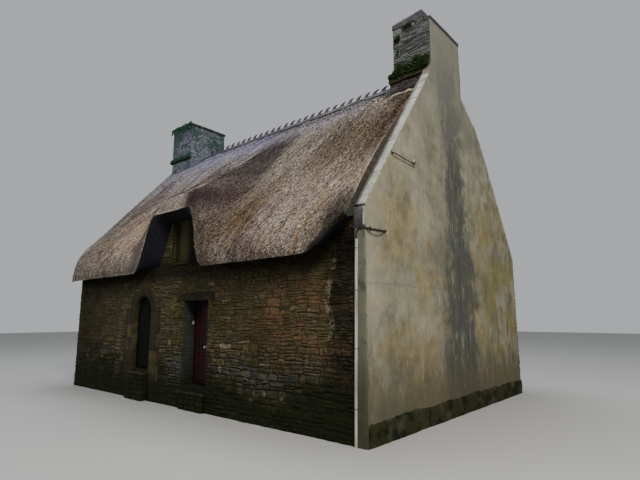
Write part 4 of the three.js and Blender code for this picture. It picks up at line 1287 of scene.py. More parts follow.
def front_spans(z0, z1):
    """Stretches of the street front between its openings, parted at the seam."""
    middle = (z0 + z1) / 2
    if z0 < SOFFIT_Z - 0.01:
        free = [(-LENGTH - OUT, OUT)]
    else:
        free = under_soffit(z0 + 0.03, True)
        if z1 < 3.35:
            free = [(a, b) for a, b in free if b < -PARAPET - 0.05] + [(free[-1][0], OUT)]
    if middle < ARCH["spring"]:
        free = without(free, ARCH_X)
    elif middle < ARCH["top"]:
        reach = math.sqrt(max(ARCH_RING ** 2 - (middle - ARCH["spring"]) ** 2, 0.0))
        free = without(free, (ARCH["centre"] - reach, ARCH["centre"] + reach)) if reach else free
    if middle < DOOR["head"]:
        free = without(free, DOOR["x"])
    elif middle < LINTEL["top"]:
        free = without(free, LINTEL["x"])
    if middle > LOFT_SILL_Z:
        free = without(free, LOFT_DOOR["x"])
    if z0 < 3.2:
        seam = seam_x(middle)
        free = without(free, (seam - 0.006, seam + 0.006))
    return free


def front_shade(x, z):
    """Warm stones towards the right end, dark ones in the gable's own end, and one pale stone."""
    aim = np.where(x > -0.75, 0.15, 0.85)
    red = np.exp(-(((x + 1.3) / 0.9) ** 2) - ((z - 1.9) / 0.8) ** 2)
    pull = np.where(x > -0.72, 0.75, 0.55 * red)
    pale = (np.abs(x + 3.33) < 0.16) & (np.abs(z - 1.33) < 0.07)
    return np.where(pale, 1.0, aim), np.where(pale, 1.0, pull)


def back_spans(z0, z1):
    """Stretches along the back wall, counted from its left-hand end as seen from the back."""
    if z0 < SOFFIT_Z - 0.01:
        return [(-OUT, LENGTH + OUT)]
    free = [(-b, -a) for a, b in under_soffit(z0 + 0.03, False)]
    return [(-OUT if a < PARAPET + 0.05 else a, b) for a, b in free]


def party_spans(z0, z1):
    """Stretches along the party wall, under the thatch."""
    inset = max(0.0, ((z0 + z1) / 2 - SOFFIT_Z) / UNDER_SLOPE - 0.02)
    if inset > RIDGE_Y - 0.1:
        return []
    end = OUT if inset == 0 else 0.0
    return [(-DEPTH + inset - end, -inset + end)]


rubble("rubble_front_foot", FRONT, front_spans, [0.0, 0.48, 1.42], 8, front_shade, proud=(0.006, 0.028),
       joint=0.018, course=(0.10, 0.21), length=(0.14, 0.38), thin=(0.055, 0.11), big=0.55)
rubble("rubble_front", FRONT, front_spans,
       [1.42, DOOR["head"], LINTEL["top"], ARCH["top"], LOFT_SILL_Z, 4.26], 1,
       front_shade, proud=(0.001, 0.020), joint=0.011, course=(0.09, 0.20), length=(0.12, 0.45),
       thin=(0.034, 0.080), big=0.28)
rubble("rubble_back", BACK, back_spans, [0.0, 0.6, SOFFIT_Z, 3.56], 2, big=0.42, thin=(0.040, 0.088))
rubble("rubble_party_wall", PARTY, party_spans, [0.0, 0.6, SOFFIT_Z, 6.85], 3, big=0.45, length=(0.2, 0.6),
       thin=(0.040, 0.088))


def rough_plinth():
    """Foot of the gable: rough stone under slurry and moss, with an uneven top."""
    y = np.linspace(0.0, DEPTH, 220)
    rows = []
    rim = PLINTH_Z - 0.012 + 0.022 * cloud(np.stack([y, 0 * y, 0 * y], axis=1), 0.38, 6)
    rim = rim + 0.012 * cloud(np.stack([y, 0 * y, 0 * y], axis=1), 0.09, 7)
    for share in np.linspace(0.0, 1.0, 15):
        z = rim * share
        spot = np.stack([0 * y, y, z], axis=1)
        out = PLINTH_OUT + 0.011 * cloud(spot, (1, 0.28, 0.12), 8) + 0.006 * cloud(spot, (1, 0.07, 0.05), 9)
        out = out * (1 - 0.35 * share ** 6)
        rows.append(np.stack([out, y, z], axis=1))
    for share, up in ((0.45, 0.008), (0.0, 0.020), (-0.3, 0.022)):
        rows.append(np.stack([share * rows[14][:, 0], y, rim + up], axis=1))
    sheet = np.stack(rows, axis=1)
    ends = sheet[[0, -1]]
    ends[..., 0] = -0.010
    sheet = np.concatenate([ends[:1], sheet, ends[1:]])
    tone = 0.5 + 0.5 * cloud(sheet, (1, 0.30, 0.14), 10)
    sheet_piece("gable_plinth_rough", sheet, schist, slot="rubble", tones=np.clip(tone.ravel(), 0, 1),
                replaces=["gable_plinth"])


def reveal_stones(name, xs, depth, levels, seed, shade=None, **laying):
    """Rubble on both sides of an opening in the street wall."""
    for side, x, along in (("left", xs[0], 1.0), ("right", xs[1], -1.0)):
        reach = (0.004, depth) if along > 0 else (-depth, -0.004)
        rubble(f"{name}_{side}", ((x, 0.0), (0.0, along)), lambda z0, z1: [reach], levels, seed, shade,
               proud=(0.002, 0.008), **laying)


rough_plinth()
reveal_stones("rubble_door_reveal", DOOR["x"], DOOR["reveal"], [DOOR["sill"], DOOR["head"]], 5,
              lambda a, z: (0.2 + 0 * a, 0.5 + 0 * a), course=(0.09, 0.17), length=(0.2, 0.4),
              thin=(0.035, 0.07))
reveal_stones("rubble_loft_reveal", LOFT_DOOR["x"], LOFT_DOOR["back"], [LOFT_SILL_Z + 0.05, 4.2], 6,
              course=(0.08, 0.15), length=(0.2, 0.3))


# Chimneys
def stack_faces(name, stack, z0, z1, seed, sides, shade=None, **laying):
    """Rubble on the named sides of a chimney."""
    (x0, x1), (y0, y1) = stack["x"], stack["y"]
    faces = {
        "front": (((x0, y0), (1.0, 0.0)), x1 - x0),
        "right": (((x1, y0), (0.0, 1.0)), y1 - y0),
        "back": (((x1, y1), (-1.0, 0.0)), x1 - x0),
        "left": (((x0, y1), (0.0, -1.0)), y1 - y0),
    }
    past = 0.0 if x1 == 0 else OUT
    for number, side in enumerate(sides):
        face, wide = faces[side]
        rubble(f"{name}_{side}", face, lambda low, high: [(-OUT, wide + past)], [z0, z1], seed + number,
               shade, **laying)


def slabs(low, high, axis, lengths, seed, radius=0.006, wear=0.003, gap=0.005, cell=0.12):
    """A row of worn slabs that fills a box along one axis."""
    rng = np.random.default_rng(seed)
    cuts = cut_heights(rng, low[axis], high[axis], *lengths)
    parts = []
    for number, (a, b) in enumerate(itertools.pairwise(cuts)):
        first, last = list(low), list(high)
        first[axis], last[axis] = a + gap / 2, b - gap / 2
        made = block(first, last, radius, cell, wear, seed + number)
        parts.append(shifted(made, (0.0, 0.0, rng.uniform(-0.002, 0.002))))
    return parts


def whole(name, parts, finish, slot, body="house", replaces=(), seed=0, smooth=True, tone=None):
    """Joined parts as one piece, each part with its own tone, or all with the given one."""
    points, faces, which = joined(parts)
    mixed = np.random.default_rng(seed).beta(2, 2, len(parts))
    tones = mixed[which] if tone is None else np.full(len(points), tone)
    piece(name, points, faces, [finish], body, slot, smooth, tones, replaces=replaces)


def cap_slabs(stack, out, thick, front_back=0.0):
    """Two beds of slabs laid round the flue; front_back sets their front edge back from the rest."""
    (x0, x1), (y0, y1) = stack["x"], stack["y"]
    wall = 0.25
    parts = []
    for bed, (z0, z1, past) in enumerate(((0.0, 0.45 * thick, out * 0.7), (0.47 * thick, thick, out))):
        low_z, high_z = stack["top"] + 0.001 + z0, stack["top"] + z1
        front = y0 - past + front_back
        for number, (a, b) in enumerate(((x0 - past, x0 + wall), (x1 - wall, x1 + past)), 40 + 5 * bed):
            parts += slabs((a, front, low_z), (b, y1 + past, high_z), 1, (0.35, 0.5), number)
        for number, (a, b) in enumerate(((front, y0 + wall), (y1 - wall, y1 + past)), 50 + 5 * bed):
            parts += slabs((x0 + wall, a, low_z), (x1 - wall, b, high_z), 0, (0.3, 0.4), number)
    return parts


def thin_shade(x, z):
    """Dark stones on the right, brown ones on the left."""
    return np.where(x > 0.36, 0.08, 0.45), np.full(x.shape, 0.65)


RIGHT_FOOT = {"x": (RIGHT_FOOT_X, 0.0), "y": RIGHT_STACK["y"]}
stack_faces("chimney_right_stones", RIGHT_STACK, RIGHT_DRIP[1], RIGHT_STACK["top"], 60,
            ("front", "left", "back"),
            thin_shade, course=(0.07, 0.15), thin=(0.022, 0.045), length=(0.12, 0.34), big=0.15)
stack_faces("chimney_foot_stones", RIGHT_FOOT, 6.30, RIGHT_DRIP[0], 65, ("front", "left", "back"),
            thin_shade, course=(0.08, 0.16), thin=(0.03, 0.06))
stack_faces("chimney_left_stones", LEFT_STACK, 6.10, LEFT_STACK["top"], 70,
            ("front", "right", "back", "left"),
            proud=(0.002, 0.014), joint=0.010, course=(0.09, 0.17), thin=(0.03, 0.06), big=0.3)


rubble("chimney_right_stones_brow", ((RIGHT_STACK["x"][0], STACK_FRONT), (1.0, 0.0)),
       lambda low, high: [(-OUT, 0.920)], [RIGHT_STACK["top"], RIGHT_STACK["top"] + CAP - 0.002], 64,
       thin_shade, course=(0.07, 0.08), thin=(0.022, 0.045), length=(0.12, 0.34), big=0.15)


def front_slab():
    """The thick stones over the front of the right chimney, worn to a peak near their right end."""
    parts = []
    foot = RIGHT_STACK["top"] + CAP + 0.001
    for seed, (a, b) in enumerate(itertools.pairwise((-0.945, -0.690, -0.400, -0.090)), 58):
        low, high = (a + 0.003, 2.565, foot), (b - 0.003, 2.830, 8.630)
        points, faces = block(low, high, 0.020, 0.035, 0.008, seed)
        rise = np.interp(points[:, 0], (-0.945, -0.165, -0.090), (0.88, 1.46, 0.55))
        points[:, 2] = foot + (points[:, 2] - foot) * rise
        parts.append((points, faces))
    return parts


whole("chimney_right_cap_slabs", cap_slabs(RIGHT_STACK, 0.020, CAP, 0.034) + front_slab(), slate, "slate",
      replaces=["chimney_right_cap"], tone=0.6)
whole("chimney_left_cap_slabs", cap_slabs(LEFT_STACK, 0.040, CAP), slate, "slate",
      replaces=["chimney_left_cap"], tone=0.3)
drip = slabs((RIGHT_FOOT_X, STACK_FRONT - 0.06, RIGHT_DRIP[0] - 0.020),
             (-PARAPET - 0.001, STACK_FRONT + 0.02, RIGHT_DRIP[1] + 0.060), 0, (0.3, 0.4), 80, wear=0.010)
drip += slabs((RIGHT_FOOT_X, STACK_FRONT + 0.025, RIGHT_DRIP[0] + 0.001),
              (RIGHT_STACK["x"][0], RIGHT_STACK["y"][1], RIGHT_DRIP[1]), 1, (0.3, 0.4), 82, wear=0.006)
whole("chimney_right_drip_slabs", drip, dressed, "slate", replaces=["chimney_right_drip"], tone=0.45)
ledge = slabs((LEFT_STACK["x"][0] - 0.06, LEFT_FRONT - 0.06, LEFT_LEDGE_Z),
              (LEFT_STACK["x"][1] + 0.06, LEFT_FRONT - 0.001, LEFT_LEDGE_Z + 0.045), 0, (0.3, 0.5), 81,
              wear=0.006)
whole("chimney_left_ledge_slabs", ledge, dressed, "slate", replaces=["chimney_left_ledge"], tone=0.1)


# Moss cushions
def lump(seed):
    """A low uneven dome about 1 across and 0.4 high."""
    mesh = bmesh.new()
    bmesh.ops.create_icosphere(mesh, subdivisions=2, radius=0.5)
    points = np.array([v.co[:] for v in mesh.verts])
    faces = np.array([[v.index for v in f.verts] for f in mesh.faces])
    mesh.free()
    swell = 1 + 0.35 * cloud(points, 0.35, seed) + 0.12 * cloud(points, 0.12, seed + 1)
    points = points * swell[:, None]
    points[:, 2] = np.where(points[:, 2] < 0, points[:, 2] * 0.3, points[:, 2] * 0.8)
    return points, faces


LUMPS = [lump(seed) for seed in range(6)]


def moss_on(name, areas, seed):
    """Moss cushions, spread over areas (low corner, high corner, count, size)."""
    rng = np.random.default_rng(seed)
    parts = []
    for low, high, count, size in areas:
        for _ in range(count):
            points, faces = LUMPS[rng.integers(len(LUMPS))]
            grown = size * rng.uniform(0.4, 1.0)
            turn = rng.uniform(0, 2 * math.pi)
            cushion = (points * (grown, grown * rng.uniform(0.6, 1.0), grown * 0.8), faces)
            parts.append(shifted(turned(cushion, 2, turn), rng.uniform(low, high)))
    whole(name, parts, moss, "slate", seed=seed)


moss_on("moss_chimney_right", [
    ((-1.02, STACK_FRONT - 0.045, 7.235), (-0.30, STACK_FRONT - 0.01, 7.235), 46, 0.11),
    ((-1.02, STACK_FRONT, 7.235), (-0.94, STACK_FRONT + 1.3, 7.235), 26, 0.11),
    ((-0.85, STACK_FRONT - 0.010, 8.14), (-0.75, STACK_FRONT, 8.20), 12, 0.06),
    ((-0.61, STACK_FRONT - 0.010, 8.39), (-0.43, STACK_FRONT, 8.47), 14, 0.07),
], 90)
moss_on("moss_chimney_left", [
    ((-10.20, LEFT_FRONT - 0.045, 7.345), (-9.05, LEFT_FRONT - 0.01, 7.345), 60, 0.12),
    ((-10.17, LEFT_FRONT - 0.01, 8.44), (-9.06, LEFT_FRONT + 0.30, 8.45), 46, 0.13),
    ((-9.07, LEFT_FRONT, 7.9), (-9.05, LEFT_FRONT + 1.2, 8.45), 26, 0.10),
    ((-10.17, LEFT_FRONT - 0.01, 7.9), (-9.5, LEFT_FRONT, 8.4), 18, 0.09),
], 91)


def amount_at(amount, t):
    """An amount along a line: one number, or a function of t from 0 to 1."""
    return amount(t) if callable(amount) else amount


def grown_bank(name, line, rise, out, seed, finish, slot=None, steps=90, rows=9, face=(0.0, -1.0)):
    """A lumpy bank along a line of points against a wall, as high as rise and as deep at its foot as out.
    face is the way out of the wall in plan."""
    line = np.asarray(line, float)
    spans = np.concatenate([[0.0], np.cumsum(np.linalg.norm(np.diff(line, axis=0), axis=1))])
    t = np.linspace(0, 1, steps)
    foot = along_line(line, spans, t * spans[-1])
    sheet = []
    for turn in np.linspace(0, math.pi / 2, rows):
        spot = foot.copy()
        taper = ease(np.minimum(t, 1 - t) / 0.05) ** 0.5
        reach = amount_at(out, t) * taper * math.cos(turn)
        tall = amount_at(rise, t) * taper * math.sin(turn)
        spot[:, 0] += face[0] * reach
        spot[:, 1] += face[1] * reach
        spot[:, 2] += tall
        lumps = 1 + 0.30 * cloud(spot, 0.11, seed) + 0.18 * cloud(spot, 0.04, seed + 1)
        spot[:, 2] = foot[:, 2] + (spot[:, 2] - foot[:, 2]) * lumps
        spot[:, :2] = foot[:, :2] + (spot[:, :2] - foot[:, :2]) * lumps[:, None]
        sheet.append(spot)
    sheet = np.stack(sheet, axis=1)
    sheet[:, -1, 0] -= face[0] * 0.02
    sheet[:, -1, 1] -= face[1] * 0.02
    sheet_piece(name, sheet, finish, slot=slot)


def tufts(name, line, rise, out, count, seed, size=0.05):
    """Small pointed leaves of moss and weed that stand out of a bank along a line on a street wall."""
    rng = np.random.default_rng(seed)
    line = np.asarray(line, float)
    t = rng.uniform(0, 1, count)
    foot = along_line(line, np.linspace(0, 1, len(line)), t)
    turn = rng.uniform(0, math.pi / 2, count)
    grow = 1.0 + 0.35 * cloud(foot + (0, 0, 3), 0.16, seed)
    root = foot.copy()
    root[:, 1] -= amount_at(out, t) * np.cos(turn) * grow
    root[:, 2] += amount_at(rise, t) * np.sin(turn) * grow
    away = unit(np.stack([rng.normal(0, 0.55, count), -np.cos(turn) - 0.3, np.sin(turn) - 0.35], axis=1))
    side = unit(np.cross(away, rng.normal(0, 1, (count, 3))))
    long = (size * rng.uniform(0.4, 1.0, count))[:, None]
    wide = long * 0.28
    reach = away * long
    belly = root + reach * 0.3
    blade = [root - reach * 0.3, belly - side * wide, root + reach, belly + side * wide]
    blade = np.stack(blade, axis=1).reshape(-1, 3)
    faces = 4 * np.arange(count)[:, None] + np.arange(4)
    piece(name, blade, faces, [leaf_green], tones=np.repeat(rng.beta(1.4, 1.6, count), 4))


def bank_rise(t):
    return 0.12 + 0.17 * ease(t / 0.22) - 0.12 * ease((t - 0.78) / 0.22)


bank_line = [(-1.03, STACK_FRONT - 0.004, 7.275), (-PARAPET - 0.06, STACK_FRONT - 0.004, 7.275),
             (-0.03, STACK_FRONT - 0.004, 7.300)]
grown_bank("moss_bank_right", bank_line, lambda t: 0.75 * bank_rise(t), 0.045, 93, moss)
tufts("moss_tufts_right", bank_line, bank_rise, 0.075, 6500, 193)


def roof_line(x, y0, y1, lift=0.0):
    """Points along the thatch at x from y0 to y1, over the ridge if it lies between."""
    ys = np.linspace(y0, y1, 24)
    from_front = np.where(ys <= RIDGE_Y, ys, DEPTH - ys)
    return np.stack([np.full(24, x), ys, top_z(from_front) + lift], axis=1)


front_edge = [(x, STACK_FRONT, top_z(STACK_FRONT) - 0.045) for x in (-1.045, -0.7, -PARAPET - 0.01)]
grown_bank("fillet_foot_front", front_edge, 0.070, 0.080, 94, fillet_mortar, "render", rows=6)
left_foot = roof_line(RIGHT_FOOT_X, STACK_FRONT - 0.03, RIDGE_Y + 0.02, -0.02)[::-1]
left_foot_back = roof_line(RIGHT_FOOT_X, RIDGE_Y - 0.02, RIGHT_STACK["y"][1], -0.02)[::-1]
grown_bank("fillet_foot_left", left_foot,
           0.18, lambda t: 0.16 + 0.06 * t, 95, cement, "render", rows=8, face=(-1.0, 0.0))
grown_bank("fillet_foot_left_back", left_foot_back,
           0.16, 0.14, 96, cement, "render", rows=8, face=(-1.0, 0.0))
left_line = [(-10.21, LEFT_FRONT - 0.008, 7.345), (-9.02, LEFT_FRONT - 0.008, 7.345)]
grown_bank("moss_bank_left", left_line, 0.10, 0.05, 97, moss)
tufts("moss_tufts_left", left_line, 0.11, 0.06, 1600, 197)
top_line = [(-10.22, LEFT_FRONT - 0.03, 8.38), (-9.03, LEFT_FRONT - 0.03, 8.38)]
tufts("moss_tufts_left_top", top_line, 0.20, 0.03, 1500, 198)
high_tufts = ((-0.86, -0.74, 8.11, 320), (-0.62, -0.42, 8.37, 420), (-0.82, -0.76, 7.80, 90))
for number, (a, b, z, count) in enumerate(high_tufts):
    high_line = [(a, STACK_FRONT - 0.01, z), (b, STACK_FRONT - 0.01, z + 0.03)]
    tufts(f"moss_tufts_high_{number + 1}", high_line, 0.11, 0.03, count, 199 + number)


def flashing():
    """Sheet lead dressed up the left chimney where the thatch meets it."""
    foot = roof_line(LEFT_STACK["x"][1] + 0.018, LEFT_FRONT - 0.02, LEFT_STACK["y"][1] + 0.02)
    rows = []
    for out, up in ((0.05, 0.030), (0.012, 0.040), (0.006, 0.080), (0.006, 0.120), (-0.03, 0.123)):
        row = foot + (out, 0.0, up)
        row[:, 2] += 0.010 * cloud(row, 0.15, 98)
        rows.append(row)
    sheet_piece("chimney_left_flashing", np.stack(rows, axis=1), lead)


flashing()


# Slate ridge: slates lapped on both slopes, and small cut slates that stand above them as fins
SLATE_WIDE = (0.255, 0.290)
SLATE_LONG = 0.385
FIN_THICK = 0.026


def ridge(name, x0, x1, seed, replaces):
    rng = np.random.default_rng(seed)
    apex = top_z(RIDGE_Y)
    slope = math.atan(TOP_SLOPE_HIGH)
    parts = []
    fins = []
    x = x0 + 0.001
    while x < x1 - 0.02:
        wide = min(rng.uniform(*SLATE_WIDE), x1 - 0.001 - x)
        if x1 - x - wide < 0.10:
            wide = x1 - 0.001 - x
        for side in (-1, 1):
            raised = rng.uniform(0.0, 0.005)
            long = SLATE_LONG + rng.uniform(-0.012, 0.004)
            low = (x + 0.002, 0.0, 0.010 + raised)
            high = (x + wide - 0.002, long, 0.021 + raised)
            points, faces = block(low, high, 0.003, 0.2, 0.0015, seed + len(parts), 0.3)
            across, along, up = points.T
            placed = np.stack([
                across, RIDGE_Y + side * (along * math.cos(slope) + up * math.sin(slope)),
                apex - along * math.sin(slope) + up * math.cos(slope),
            ], axis=1)
            parts.append((placed, faces[:, ::-1] if side > 0 else faces))
        if wide > 0.12:
            height = rng.uniform(0.118, 0.138)
            tip = rng.uniform(0.100, 0.125)
            foot = apex - 0.010
            middle = x + wide / 2
            outline = [
                (middle - 0.120, foot), (middle + 0.060, foot), (middle + 0.040, apex + 0.034),
                (middle + 0.044, apex + height * 0.58), (middle + tip * 0.75, apex + height * 0.84),
                (middle + tip, apex + height), (middle + 0.050, apex + height * 0.97),
                (middle - 0.010, apex + height * 0.80), (middle - 0.062, apex + height * 0.50),
            ]
            face_y = RIDGE_Y + rng.uniform(-0.008, 0.008) - FIN_THICK / 2
            fins.append(plate(outline, FIN_THICK, lambda a, b, depth: (a, face_y + depth, b)))
        x += wide
    whole(name, parts, slate, "slate", replaces=[replaces], seed=seed, smooth=False)
    whole(f"{name}_fins", fins, slate, "slate", smooth=False, tone=0.7)


ridge("ridge_slates_lapped", LEFT_STACK["x"][1], RIGHT_FOOT_X, 100, "ridge_slates")
ridge("ridge_end_slates_lapped", -LENGTH - VERGE_OVERHANG + 0.002, LEFT_STACK["x"][0], 101,
      "ridge_slates_end")


# Gable: a skin of render over the wall and up the chimney, and coping slabs on its two rakes
def front_rake(y):
    return KNEELER_Z + (7.260 - KNEELER_Z) * y / STACK_FRONT


def back_rake(y):
    return np.interp(y, *zip(*BACK_RAKE))


def gable_top(y):
    """Top of the rendered gable under its coping."""
    rakes = np.where(y < STACK_FRONT, front_rake(y), back_rake(y)) - COPING
    on_chimney = (y >= STACK_FRONT) & (y <= RIGHT_STACK["y"][1])
    return np.where(on_chimney, RIGHT_STACK["top"], rakes)


def render_skin():
    left, right = RIGHT_STACK["y"]
    columns = np.concatenate([
        np.linspace(0.0, left - 0.001, 46), np.linspace(left, right, 27),
        np.linspace(right + 0.001, DEPTH, 52),
    ])
    tops = gable_top(columns)
    levels = np.arange(0.325, 8.37, 0.055)
    heights = np.minimum(levels[None, :], tops[:, None])
    heights = np.concatenate([heights, tops[:, None]], axis=1)
    y = np.broadcast_to(columns[:, None], heights.shape)
    flat = np.stack([0 * y, y, heights], axis=-1)
    out = 0.006 + 0.004 * cloud(flat, 0.45, 1) + 0.0018 * cloud(flat, 0.12, 2)
    out = np.where(heights >= tops[:, None] - 0.001, out * 0.3, out)
    ends = np.minimum(y - columns[0], columns[-1] - y)
    out = out - 0.010 * (1 - ease(ends / 0.03)) * np.where(heights > 0.34, 1, 0.2)
    points = np.stack([out, y, heights], axis=-1).reshape(-1, 3)
    faces = grid_faces(len(columns), heights.shape[1])
    spans = heights[1:, 1:] - heights[1:, :-1] + heights[:-1, 1:] - heights[:-1, :-1]
    faces = faces[spans.ravel() > 0.0005]
    piece("gable_render_skin", points, faces, [render], slot="render", smooth=True)


RETURN_TOP_Z = 3.352
RETURN_OUT = 0.028


def corner_return():
    """Render turned round the corner to the street, over the ends of the stones, up to the cable guard."""
    levels = np.linspace(0.0, RETURN_TOP_Z, 96)
    left = GUARD_FOOT_X + GUARD_LEAN * levels - 0.045 * ease((levels - 3.02) / 0.2)
    shares = np.array([0.0, 0.0, 0.12, 0.26, 0.40, 0.54, 0.68, 0.82, 0.94])
    steps = np.array([-0.004, -0.024, *[-RETURN_OUT] * 6, -0.027])
    x = left[:, None] * (1 - shares) + 0.006 * shares
    y = steps - 0.006 * (1 - ease((levels[:, None] - 1.35) / 0.2)) * (steps < -0.01)
    rounding = np.array([
        (0.012, -0.022), (0.0185, -0.010), (0.0195, 0.004), (0.018, 0.020), (0.012, 0.038), (0.002, 0.056),
    ])
    flat = np.stack([x, y], axis=-1)
    flat = np.concatenate([flat, np.broadcast_to(rounding, (len(levels), *rounding.shape))], axis=1)
    z = np.broadcast_to(levels[:, None], flat.shape[:2])
    sheet = np.concatenate([flat, z[..., None]], axis=-1)
    worn = cloud(sheet, (0.3, 0.3, 0.22), 21) + 0.6 * cloud(sheet, (0.1, 0.1, 0.05), 22)
    sheet[:, 2:-1, 1] -= 0.0025 * worn[:, 2:-1]
    sheet[:, 8:-1, 0] += 0.0025 * worn[:, 8:-1]
    sheet_piece("corner_render_return", sheet, render, flip=True, slot="render")


def coping(name, knots, seed, replaces):
    """Slabs along a line of (y, z) knots of the coping's upper edge."""
    rng = np.random.default_rng(seed)
    parts = []
    for (ya, za), (yb, zb) in itertools.pairwise(knots):
        run = math.hypot(yb - ya, zb - za)
        angle = math.atan2(zb - za, yb - ya)
        depth = COPING * math.cos(angle)
        for a, b in itertools.pairwise(cut_heights(rng, 0.0, run, 0.62, 0.85)):
            low, high = (-PARAPET, a + 0.003, -depth), (0.012, b - 0.003, 0.0)
            slab = block(low, high, 0.010, 0.10, 0.004, seed + len(parts))
            parts.append(shifted(turned(slab, 0, angle),
                                 (rng.uniform(-0.003, 0.003), ya, za + rng.uniform(-0.004, 0.002))))
    whole(name, parts, coping_stone, "dressed_stone", replaces=[replaces], seed=seed)


def parapet_end():
    """Rendered end of the parapet over the street, on a thin ledge."""
    end = block((-PARAPET - 0.012, -0.018, 3.385), (0.004, 0.004, 3.700), 0.006, 0.03, 0.004, 5, 0.08)
    corner = block((-0.016, -0.024, 3.385), (0.008, 0.004, 3.698), 0.007, 0.03, 0.004, 7, 0.08)
    shelf = block((-PARAPET - 0.022, -0.034, 3.350), (0.012, 0.004, 3.385), 0.008, 0.05, 0.004, 6, 0.08)
    whole("parapet_end_render", [end], cement, "render", seed=1)
    whole("parapet_end_corner", [corner], coping_stone, "dressed_stone", seed=2)
    whole("parapet_end_ledge", [shelf], cement, "render", seed=2)


def coping_wedge():
    """Render that fills the corner between the top of the front coping and the chimney."""
    foot, top = 2.424, front_rake(2.424)
    rows = []
    for x in np.linspace(-PARAPET + 0.004, 0.010, 8):
        line = [(foot, top - 0.10), (foot, top - 0.012), (foot + 0.06, top + 0.055),
                (foot + 0.11, top + 0.135), (2.584, top + 0.29), (2.592, top + 0.34)]
        rows.append([(x, y, z) for y, z in smooth_path([(y, z, 0.0) for y, z in line], 4)[:, :2]])
    sheet = shaken(np.array(rows).reshape(-1, 3), 0.09, 0.006, 61)
    rim = len(rows[0])
    points, faces = [sheet], [grid_faces(8, rim, flip=True)]
    for end in (0, 7):
        edge = sheet[end * rim : (end + 1) * rim]
        back = edge.copy()
        back[:, 1] = 2.594
        points.append(np.concatenate([edge, back]))
        faces.append(grid_faces(2, rim, sum(len(p) for p in points[:-1]), flip=end > 0))
    piece("coping_end_render", np.concatenate(points), np.concatenate(faces), [render], slot="render",
          smooth=True)


render_skin()
corner_return()
coping("coping_front_slabs", [(y, front_rake(y)) for y in (-0.015, 2.420)], 110, "coping_front")
coping_wedge()
coping("coping_back_slabs", [(4.052, 7.100), *BACK_RAKE[1:]], 120, "coping_back")
parapet_end()


# Dressed stones round the doors
def extruded(outline, z0, z1, rings=3, arris=0.005):
    """A block with a plan outline (corners in order, seen from above) and softened beds."""
    outline = np.array(outline, float)
    middle = outline.mean(axis=0)
    away = outline - middle
    inner = outline - arris * unit(away)
    levels = [z0, z0 + arris, *np.linspace(z0 + arris, z1 - arris, rings + 1)[1:-1], z1 - arris, z1]
    plans = [inner] + [outline] * (len(levels) - 2) + [inner]
    points = [np.column_stack([plan, np.full(len(plan), z)]) for plan, z in zip(plans, levels)]
    return np.concatenate(points), bar_faces(len(levels), len(outline))


PROUD = 0.007
CHAMFER = 0.020


def jamb_blocks(side, seed):
    """Courses of dressed blocks with a chamfered edge and a rebate for the leaf."""
    rng = np.random.default_rng(seed)
    inner = ARCH["centre"] + side * ARCH["half"]
    outer = inner + side * ARCH_STONE
    parts = []
    for z0, z1 in itertools.pairwise(cut_heights(rng, 0.0, ARCH["spring"], 0.30, 0.46)):
        rebate = inner + side * REBATE
        end = outer - side * rng.choice([0.002, 0.05, 0.09, 0.14])
        outline = [
            (end, -PROUD), (inner + side * CHAMFER, -PROUD), (inner, CHAMFER - PROUD),
            (inner, ARCH["reveal"]), (rebate, ARCH["reveal"]), (rebate, 0.30), (rebate, WALL - 0.001),
            (end, WALL - 0.001), (end, 0.10),
        ]
        outline = outline[::-1] if side > 0 else outline
        points, faces = extruded(outline, z0 + 0.002, z1 - 0.003)
        parts.append((shaken(points, 0.15, 0.003, seed + len(parts)), faces))
        if abs(end - outer) > 0.01:
            low = min(end + side * 0.006, outer)
            high = max(end + side * 0.006, outer)
            low_corner, high_corner = (low, -0.003, z0 + 0.004), (high, 0.3, z1 - 0.004)
            parts.append(block(low_corner, high_corner, 0.008, 0.06, 0.004, seed + len(parts)))
    return parts


def arch_halves():
    """The two stones of the arch, each cut to half of the round opening with a chamfer."""
    parts = []
    centre, spring, half = ARCH["centre"], ARCH["spring"] + 0.001, ARCH["half"]
    rise = ARCH["top"] - spring
    for side in (-1, 1):
        rows = []
        for turn in np.linspace(0.0, math.pi / 2 - 0.004, 24):
            cos, sin = math.cos(turn), math.sin(turn)
            reach = min(ARCH_RING, rise / max(sin, 1e-6))
            row = [(reach * cos, -0.001, reach * sin)]
            face_reach = (reach - 0.008, 0.5 * (reach + half + CHAMFER), half + CHAMFER)
            row += [(r * cos, -PROUD, r * sin) for r in face_reach]
            row += [(half * cos, CHAMFER - PROUD, half * sin), (half * cos, ARCH["reveal"], half * sin)]
            row += [((half + REBATE) * cos, ARCH["reveal"] + 0.001, (half + REBATE) * sin)]
            rows.append([(centre + side * a, y, spring + z) for a, y, z in row])
        sheet = np.array(rows)
        sheet[0, :, 2] += 0.002
        points = shaken(sheet.reshape(-1, 3), 0.15, 0.003, 140 + side)
        parts.append((points, grid_faces(*sheet.shape[:2], flip=side > 0)))
    return parts


